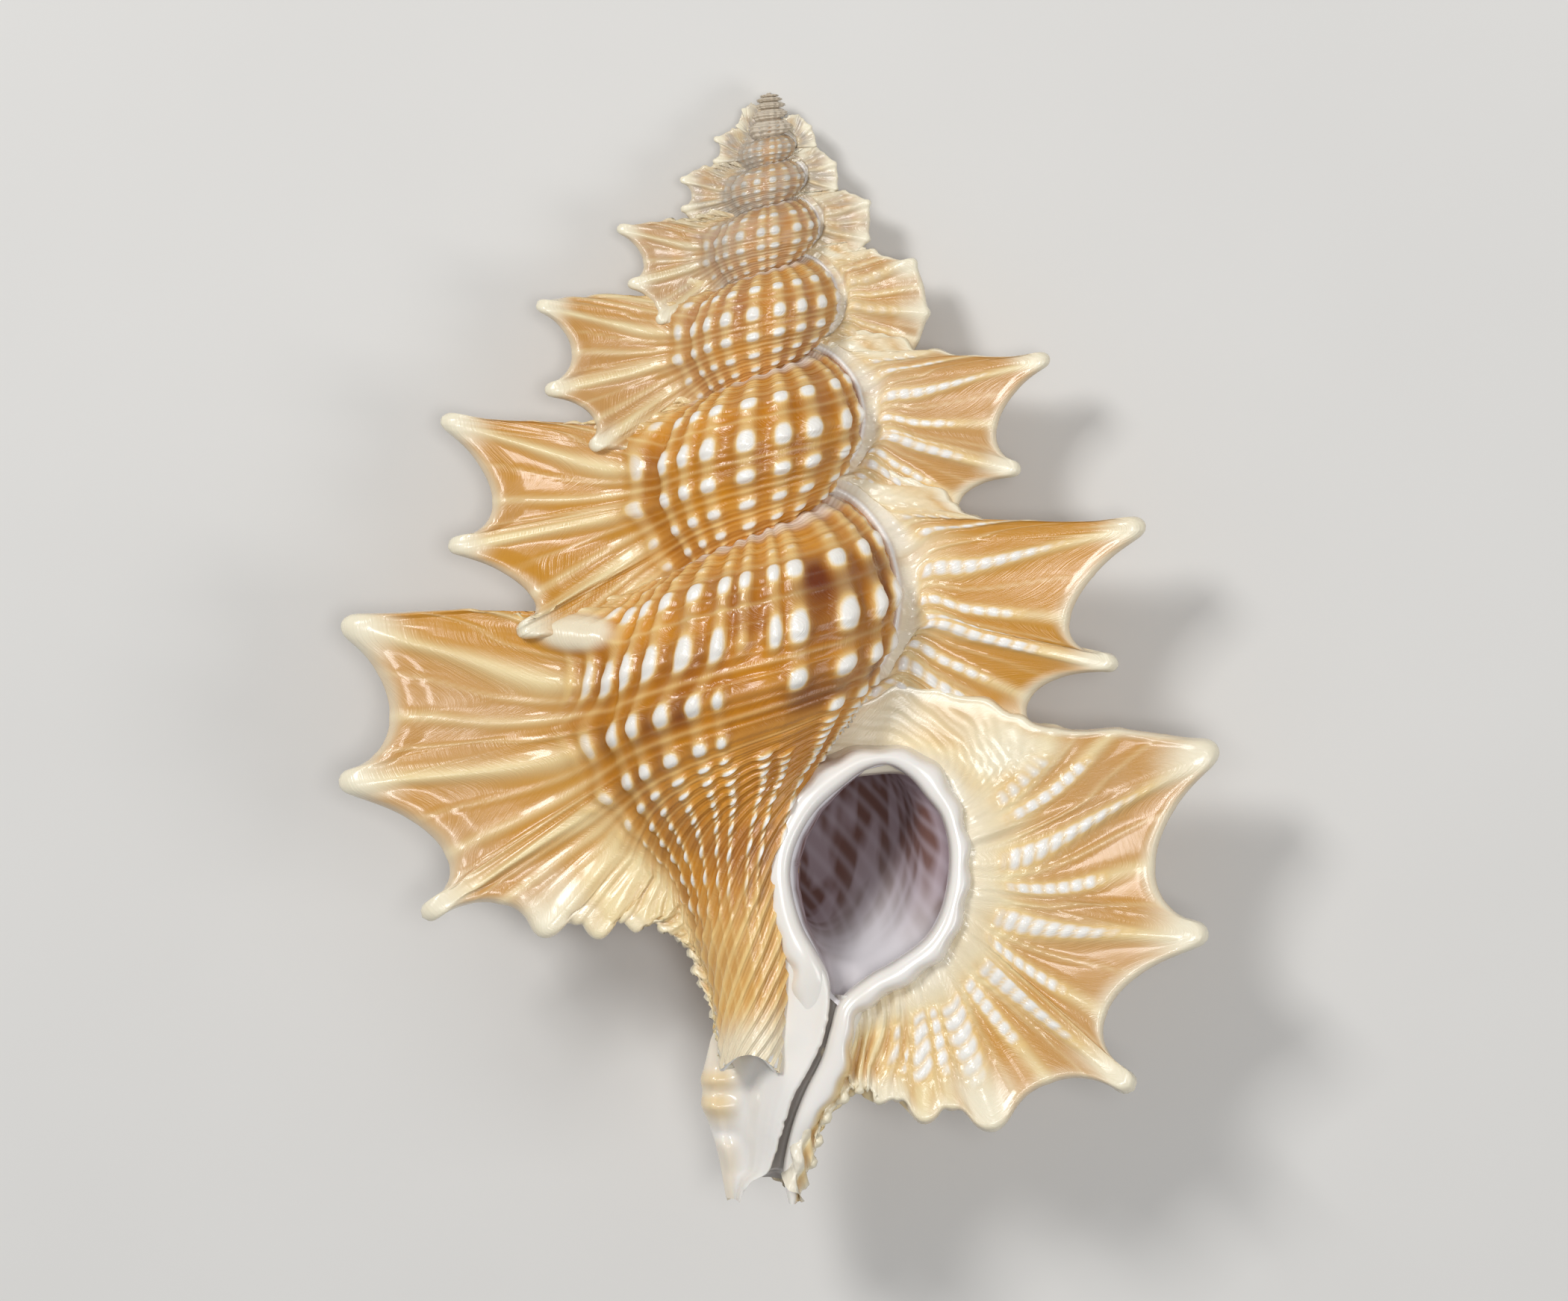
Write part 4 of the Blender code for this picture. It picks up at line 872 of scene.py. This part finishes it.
dress_half_turn("last_half_turn", 0, LAST_CORNERS, LAST_MIDDLES, (330, 285), LAST_RIBS, LAST_STAINS,
                LAST_BARE, lip_foot=LIP_FOOT, lean=RIB_LEAN)


# Lip
# A thick white porcelain-like ring round the mouth, laid down last. It is smooth inside,
# wavy outside, and runs on down both sides of the canal's slit.
PHOTO_APEX = (520.0, 21.0)  # pixel of the shell's tip in the photo's front view
PHOTO_MM = 0.05  # millimetres a pixel
PHOTO_LEAN = math.radians(1.26)  # how far the shell leans in it
LIP_PATH = [  # outer and inner edge in the photo's pixels, crest height in mm
    (550, 1318, 541, 1318, -0.5), (555, 1283, 535, 1285, 0.1), (557, 1262, 537, 1262, 0.7),
    (572, 1221, 547, 1220, 1.8), (593, 1192, 561, 1183, 2.3), (607, 1165, 579, 1146, 2.7),
    (612, 1130, 589, 1112, 3.0), (617, 1098, 600, 1078, 3.1), (643, 1077, 632, 1050, 2.9),
    (688, 1050, 665, 1031, 2.7), (726, 1017, 701, 1003, 2.6), (745, 965, 720, 965, 2.5),
    (750, 907, 727, 912, 2.4), (741, 863, 719, 869, 2.4), (724, 825, 700, 842, 2.5),
    (699, 798, 681, 820, 2.6), (661, 787, 656, 806, 2.8), (618, 790, 630, 811, 3.0),
    (580, 806, 603, 830, 3.2), (553, 830, 574, 856, 3.4), (530, 866, 554, 887, 3.5),
    (516, 905, 544, 918, 3.6), (516, 952, 545, 950, 3.6), (525, 998, 556, 990, 3.5),
    (543, 1037, 572, 1020, 3.4), (546, 1062, 585, 1045, 3.15), (549, 1090, 589, 1068, 2.7),
    (553, 1118, 588, 1092, 2.1), (560, 1146, 584, 1118, 1.3),
]
RING_FIRST, RING_LAST = 7, 26  # stations of LIP_PATH that go round the mouth
SLIT_LAST = 5  # last station beside the canal's slit
LIP_SECTION = [  # share from outer to inner edge, drop below the crest
    (-0.28, 2.4), (-0.12, 1.4), (0.0, 0.62), (0.22, 0.12), (0.5, 0.0), (0.80, 0.10), (0.96, 0.5),
    (1.02, 1.3), (0.98, 2.6),
]
LIP_ROWS, LIP_COLUMNS = 520, 40
LIP_WAVES, LIP_WAVE_RISE = 24, 0.10


def photo_place(x, y):
    """Out and down in mm of a pixel of the photo's front view."""
    dx, dy = (np.asarray(x) - PHOTO_APEX[0]) * PHOTO_MM, (np.asarray(y) - PHOTO_APEX[1]) * PHOTO_MM
    return (dx * math.cos(PHOTO_LEAN) + dy * math.sin(PHOTO_LEAN),
            -dx * math.sin(PHOTO_LEAN) + dy * math.cos(PHOTO_LEAN))


def porcelain():
    """White shell with a warm cast where it thins, grey where no light reaches."""
    material, tree, surface = new_material("white lip")
    warm_part, _, shaded_part = split(tree, carried_mask(tree, "tint"))
    colour = blend_colours(tree, cloud(tree, own_place(tree), 180.0, 3.0), "#F6F3F0", "#EFE8DC")
    colour = blend_colours(tree, warm_part, colour, "#EBCF98")
    colour = blend_colours(tree, shaded_part, colour, "#A39A94")
    feed(tree, surface, Base_Color=colour, Roughness=0.22, Coat_Weight=0.4, Coat_Roughness=0.1,
         Subsurface_Weight=0.08, Subsurface_Scale=0.001)
    return material


LIP_WHITE = porcelain()
path = np.array(LIP_PATH, float)
outer = np.stack(photo_place(path[:, 0], path[:, 1]), -1)
inner = np.stack(photo_place(path[:, 2], path[:, 3]), -1)
middle = (outer + inner) / 2
walk = np.concatenate([[0.0], np.cumsum(np.linalg.norm(np.diff(middle, axis=0), axis=1))])
lip_knots = np.column_stack([walk, outer, inner, path[:, 4]])
along = np.linspace(0.0, walk[-1], LIP_ROWS)
lip = through(lip_knots, along)
section_walk = np.linspace(0.0, len(LIP_SECTION) - 1.0, LIP_COLUMNS)
section = through([(i, *s) for i, s in enumerate(LIP_SECTION)], section_walk)
share, drop = section[None, :, 0], section[None, :, 1]
wave = LIP_WAVE_RISE * np.sin(2 * math.pi * LIP_WAVES * along / walk[-1])[:, None] * hump(share, 0.35)
lip_width = np.linalg.norm(lip[:, 2:4] - lip[:, 0:2], axis=1)[:, None]
lip_share = share - wave / np.maximum(lip_width, 0.5)
lip_out, lip_down = [lip[:, None, k] + (lip[:, None, k + 2] - lip[:, None, k]) * lip_share for k in (0, 1)]
lip_points = points_at(lip_out, lip_down, lip[:, None, 4] - drop)
on_canal = 1 - ease(walk[SLIT_LAST], walk[RING_FIRST], along)
warm = np.clip(on_canal[:, None] * (1 - ease(0.05, 0.3, share)), 0, 1)
skin_object("lip", lip_points[:, ::-1], {"tint": mask(warm, 0.0, 0.0)[:, ::-1]}, LIP_WHITE)


# Throat
# The inside of the newest tube, seen through the mouth: smooth, mauve-grey with purple-brown
# bars where the outside is stained, and white towards the lip.
MOUTH_CENTRE, MOUTH_SIZE, MOUTH_LEAN = (6.9, 45.4), (4.7, 6.3), math.radians(8.0)
MOUTH_DEPTH, MOUTH_STEPS = 0.62, 8  # half turns that the throat goes in, and its control rings
BORE_CENTRE, BORE_SIZE = (0.585, 1.265), (0.345, 0.165)  # shares of the tube's radius and depth
THROAT_RIM = [  # drop below the lip's crest, width at the right and at the left
    (0.7, 1.03, 1.06), (1.0, 1.015, 0.99), (1.6, 1.03, 0.95), (2.4, 1.06, 0.90),
]
THROAT_ROWS, THROAT_COLUMNS = 110, 140
WHITER_ANGLE = 1.2  # from the right towards below: the side that is white further in


def throat_lining():
    """Smooth lining with soft bars across the spiral and pale lines along it."""
    material, tree, surface = new_material("throat lining")
    along, deep, white_part = split(tree, carried_mask(tree, "place"))
    barred = add_node(tree, "ShaderNodeCombineXYZ", X=maths(tree, "MULTIPLY", along, 0.35),
                      Y=maths(tree, "MULTIPLY", deep, 1.1))
    bars = add_node(tree, "ShaderNodeTexNoise", {"noise_dimensions": "2D"}, Vector=barred.outputs[0],
                    Scale=1.0, Detail=0.5).outputs["Fac"]
    slanted = maths(tree, "MULTIPLY_ADD", deep, 0.45, along)
    lines = maths(tree, "SINE", maths(tree, "MULTIPLY", slanted, 6.0))
    lines = maths(tree, "POWER", maths(tree, "MULTIPLY_ADD", lines, 0.5, 0.5), 2.0)
    colour = blend_colours(tree, spread_out(tree, bars, 0.38, 0.62), "#AE9AA0", "#7C5A52")
    colour = blend_colours(tree, maths(tree, "MULTIPLY", lines, 0.38), colour, "#C9BBC4")
    colour = blend_colours(tree, white_part, colour, "#F1EEF1")
    feed(tree, surface, Base_Color=colour, Roughness=0.3, Coat_Weight=0.25)
    return material


def turned_by(angle, across, down):
    """A place, or many, turned about the mouth's middle."""
    return (across * math.cos(angle) - down * math.sin(angle),
            across * math.sin(angle) + down * math.cos(angle))


angles = np.linspace(-math.pi, math.pi, THROAT_COLUMNS, endpoint=False)
leftward = (0.5 - 0.5 * np.cos(angles)) ** 2
ring = slice(RING_FIRST, RING_LAST + 1)
upright = turned_by(-MOUTH_LEAN, *(inner[ring] - np.array(MOUTH_CENTRE)).T)
ring_angle = np.arctan2(upright[1] / MOUTH_SIZE[1], upright[0] / MOUTH_SIZE[0]) % (2 * math.pi)
order = np.argsort(ring_angle)
ring_data = np.column_stack([inner[ring], path[ring, 4]])[order]
wrapped = np.concatenate([ring_angle[order] + turn for turn in (-2 * math.pi, 0.0, 2 * math.pi)])
mouth_edge = [np.interp(angles, wrapped, np.tile(ring_data[:, k], 3)) for k in range(3)]
throat_controls = []
for drop_in, grow_right, grow_left in THROAT_RIM:
    grow = grow_right + (grow_left - grow_right) * leftward
    out, down = [centre + (edge - centre) * grow for edge, centre in zip(mouth_edge, MOUTH_CENTRE)]
    throat_controls.append(points_at(out, down, mouth_edge[2] - drop_in))
for i in range(1, MOUTH_STEPS + 1):
    n = MOUTH_DEPTH * i / MOUTH_STEPS
    radius, down = TUBE_RADIUS * RADIUS_RATIO ** n, SUTURE_DOWN * SUTURE_RATIO ** n
    across, below = turned_by(MOUTH_LEAN, BORE_SIZE[0] * radius * np.cos(angles),
                              BORE_SIZE[1] * down * np.sin(angles))
    out = BORE_CENTRE[0] * radius + across
    throat_controls.append(points_at(out * math.cos(math.pi * n), BORE_CENTRE[1] * down + below,
                                     -out * math.sin(math.pi * n)))
throat_controls = np.array(throat_controls)
depth = np.arange(len(throat_controls))[:, None] + np.zeros(THROAT_COLUMNS)
throat_points, throat_labels = even_rows(throat_controls, {"depth": depth}, THROAT_ROWS)
depth = throat_labels["depth"]
whiter = hump((angles - WHITER_ANGLE + math.pi) % (2 * math.pi) - math.pi, 0.9, 3.0)
whitened = np.clip(1 - ease(0.8, 2.6, depth) + 0.9 * whiter * (1 - ease(4.5, 7.0, depth)), 0, 1)
skin_object("throat", throat_points[::-1], {"place": mask(angles * 4.0, depth * 2.0, whitened)[::-1]},
            throat_lining(), closed=True)


# Open canal
# Below the mouth the tube narrows to a gutter with a slit along its front. The broad left wall
# is white, and the gutter's floor is dark where the light doesn't reach.
CANAL_STATIONS = [  # down; slit's left and right edges, right side; crest, floor
    (50.4, 3.85, 4.6, 6.0, 3.15, 1.6), (51.3, 4.35, 5.0, 6.3, 3.1, 1.6),
    (52.3, 4.55, 5.15, 6.5, 3.05, 1.6), (54.0, 4.45, 5.05, 6.2, 2.9, 1.5),
    (56.0, 3.85, 4.45, 5.7, 2.6, 1.1), (58.0, 2.8, 3.5, 4.9, 2.2, 0.6),
    (60.0, 2.1, 2.8, 4.0, 1.5, -0.3), (62.0, 1.6, 2.4, 3.4, 0.6, -1.6),
    (63.0, 1.2, 2.4, 3.2, 0.2, -2.2), (63.5, 0.4, 2.3, 3.1, -0.2, -2.6),
    (64.2, -0.15, 2.3, 3.05, -0.5, -3.0), (64.8, -0.35, 2.5, 3.0, -0.7, -3.3),
]
FASCIOLE_RIDGES = [(57.7, 0.55, 0.55), (59.25, 0.6, 0.75), (60.9, 0.5, -0.3)]  # down, half width, rise
GUTTER_NOTCH = 1.3  # how far the gutter's end is worn back between its two prongs
CANAL_ROWS, WALL_COLUMNS, GUTTER_COLUMNS = 180, 90, 70
RAGGED = 0.07  # how far the slit's torn edge strays
GUTTER_TOP = 52.4  # down to where the gutter is seen
levels = np.linspace(CANAL_STATIONS[0][0], CANAL_STATIONS[-1][0], CANAL_ROWS)
slit_left, slit_right, right, crest, floor_lift = through(CANAL_STATIONS, levels).T
middle_out, back_lift, half_width = through(NEW_CANAL, levels)[:, :3].T
left = middle_out - half_width
rng = np.random.default_rng(8)
ragged = rng.uniform(-RAGGED, RAGGED, 60)
ragged = np.interp(levels, np.linspace(levels[0], levels[-1], 60), ragged)
torn_edge = slit_left + ragged * ease(53.0, 54.0, levels)
ridge = sum(rise * hump(levels - down, half) for down, half, rise in FASCIOLE_RIDGES)
span = slit_left - left
height_up = crest - back_lift
thick = np.clip(span / 4.0, 0.1, 1.0)
shown = ease(55.0, 56.8, levels) * (1 - ease(61.5, 63.5, levels))
full = 1 - ease(54.5, 58.5, levels)
notch = GUTTER_NOTCH * ease(62.6, 64.8, levels)
bulge = 0.32 * ease(54.0, 55.5, levels) + 0.2 * np.maximum(ridge, 0)


def canal_skin(name, rows, columns, tint):
    """A skin over control rows that run down the canal, tinted by the row it is near."""
    place = np.arange(len(rows))[:, None] + np.zeros(len(rows[0]))
    points, labels = even_rows(np.array(rows), {"row": place}, columns)
    skin_object(name, points, {"tint": mask(*tint(labels["row"]))}, LIP_WHITE)


canal_skin("canal_wall", [
    points_at(left + 0.25, levels, back_lift - 0.6),
    points_at(left - bulge, levels, back_lift + 0.1),
    points_at(left + 0.07 * span, levels, back_lift + 0.5 + (0.5 + ridge) * shown),
    points_at(left + 0.20 * span, levels, back_lift + 0.55 + (0.3 + 0.8 * ridge) * shown),
    points_at(left + 0.42 * span, levels, back_lift + (0.28 + 0.32 * full) * height_up),
    points_at(left + 0.66 * span, levels, back_lift + (0.62 + 0.24 * full) * height_up),
    points_at(left + 0.88 * span, levels, crest - 0.35),
    points_at(torn_edge - 0.10 * thick, levels, crest - 0.18),
    points_at(torn_edge, levels, crest - 0.35),
    points_at(slit_left - 0.10 * thick, levels, crest - 1.1 * thick),
    points_at(slit_left - 0.6 * thick, levels, crest - 2.0 * thick),
], WALL_COLUMNS, lambda row: ((1 - ease(2.6, 4.2, row)) * np.clip(0.35 + ridge, 0, 0.8), 0.0, 0.0))

reached, thinned = [np.interp(levels - notch, levels, row) for row in (slit_left, thick)]
middle_lift = (crest + floor_lift) / 2
gutter_rows = np.array([
    points_at(reached - 0.35 * thinned, levels - notch, crest - 0.9),
    points_at(reached - 0.30 * thinned, levels - notch, middle_lift),
    points_at((reached + slit_right) / 2, levels - notch, floor_lift),
    points_at(slit_right + 0.15, levels - 0.7 * notch, middle_lift),
    points_at(slit_right + 0.05, levels, crest - 1.0),
    points_at(slit_right + 0.3, levels, crest - 0.3),
    points_at(right, levels, crest - 1.2),
    points_at(right + 0.1, levels, back_lift),
])[:, levels > GUTTER_TOP]
canal_skin("canal_gutter", gutter_rows, GUTTER_COLUMNS,
           lambda row: (0.0, 0.0, 0.85 * (1 - ease(3.4, 4.8, row))))


# Old canal's broken end
# The canal of the body whorl stopped here: a ragged white rim, left behind when the newer
# canal grew past it on the right.
OLD_END_GROWTH = np.linspace(0.93, 0.02, 130)
OLD_END_RIM = [  # place u, share of the way in to the canal's middle, rise
    (0.990, -0.04, 0.0), (1.0, -0.02, -0.02), (1.0, 0.10, -0.06), (0.99, 0.22, 0.1),
    (0.95, 0.30, 0.9), (0.90, 0.34, 2.2),
]
OLD_END_ROWS = 40
old_controls = []
for u_end, inwards, rise in OLD_END_RIM:
    ring_points = whorl_place(1, 1 + OLD_END_GROWTH, u_end)
    old_middle = through(OLD_CANAL, -ring_points[:, 1])
    heart = points_at(-old_middle[:, 0], -ring_points[:, 1], -old_middle[:, 1])
    old_controls.append(ring_points + (heart - ring_points) * inwards + np.array([0.0, rise * 0.2, 0.0]))
old_points, _ = even_rows(np.array(old_controls), {}, OLD_END_ROWS)
skin_object("old_canal_rim", old_points, {"tint": np.zeros_like(old_points)}, LIP_WHITE, side=-1.0)


# Table, lights and camera
# A plain pale table under the shell. A large soft lamp stands up and left of it, a weaker one
# to the right and one overhead, and the camera looks down along the shell's own front.
TABLE_SIDE = 1.2
LONG_LENS, SENSOR_WIDTH = 135.0, 36.0
IMAGE_SIZE = (2100, 1742)
SHELL_HEIGHT = 65.0  # tip to canal end
SHELL_MIDDLE = (1.5, -32.6, 0.0)  # what the camera looks at, in the shell's own places
FRAME_HEIGHT_SHARE = 0.86  # share of the picture's height that the shell fills
LAMPS = [  # name, place in m, side in m, watts
    ("key lamp", (-0.26, 0.30, 0.40), 0.12, 1.6),
    ("fill lamp", (0.40, -0.05, 0.35), 0.20, 0.5),
    ("top lamp", (0.05, 0.12, 0.60), 0.12, 1.0),
]


def table_top():
    """Pale painted board with a faint grain."""
    material, tree, surface = new_material("pale table")
    grain = cloud(tree, own_place(tree), 40.0, 4.0)
    feed(tree, surface, Base_Color=blend_colours(tree, grain, "#DCDAD6", "#E2E0DC"), Roughness=0.8)
    return material


bpy.ops.mesh.primitive_plane_add(size=TABLE_SIDE, location=(0.0, 0.0, 0.0))
table = bpy.context.object
table.name = "table"
table.data.materials.append(table_top())

world = bpy.data.worlds.new("studio air")
world.use_nodes = True
air = world.node_tree.nodes["Background"]
air.inputs["Color"].default_value = (0.92, 0.95, 1.0, 1.0)
air.inputs["Strength"].default_value = 0.22
bpy.context.scene.world = world
bpy.context.scene.view_settings.view_transform = "Standard"

for label, place, side_length, watts in LAMPS:
    light = bpy.data.lights.new(label, "AREA")
    light.shape = "SQUARE"
    light.size = side_length
    light.energy = watts
    lamp = bpy.data.objects.new(label, light)
    lamp.location = place
    lamp.rotation_euler = (-Vector(place)).to_track_quat("-Z", "Y").to_euler()
    bpy.context.scene.collection.objects.link(lamp)

camera = bpy.data.cameras.new("front camera")
camera.lens = LONG_LENS
camera.sensor_width = SENSOR_WIDTH
view = bpy.data.objects.new("front camera", camera)
bpy.context.scene.collection.objects.link(view)
looking = LYING.to_3x3()
right_way = looking @ Vector((math.cos(PHOTO_LEAN), math.sin(PHOTO_LEAN), 0.0))
up_way = looking @ Vector((-math.sin(PHOTO_LEAN), math.cos(PHOTO_LEAN), 0.0))
towards = looking @ Vector((0.0, 0.0, 1.0))
view_height = SHELL_HEIGHT * MM / FRAME_HEIGHT_SHARE
distance = view_height * LONG_LENS / (SENSOR_WIDTH * IMAGE_SIZE[1] / IMAGE_SIZE[0])
centre = LYING @ (Vector(SHELL_MIDDLE) * MM)
view.matrix_world = Matrix.Translation(centre + towards * distance) @ Matrix(
    (right_way, up_way, towards)).transposed().to_4x4()
camera.clip_start, camera.clip_end = 0.01, 10.0
bpy.context.scene.camera = view
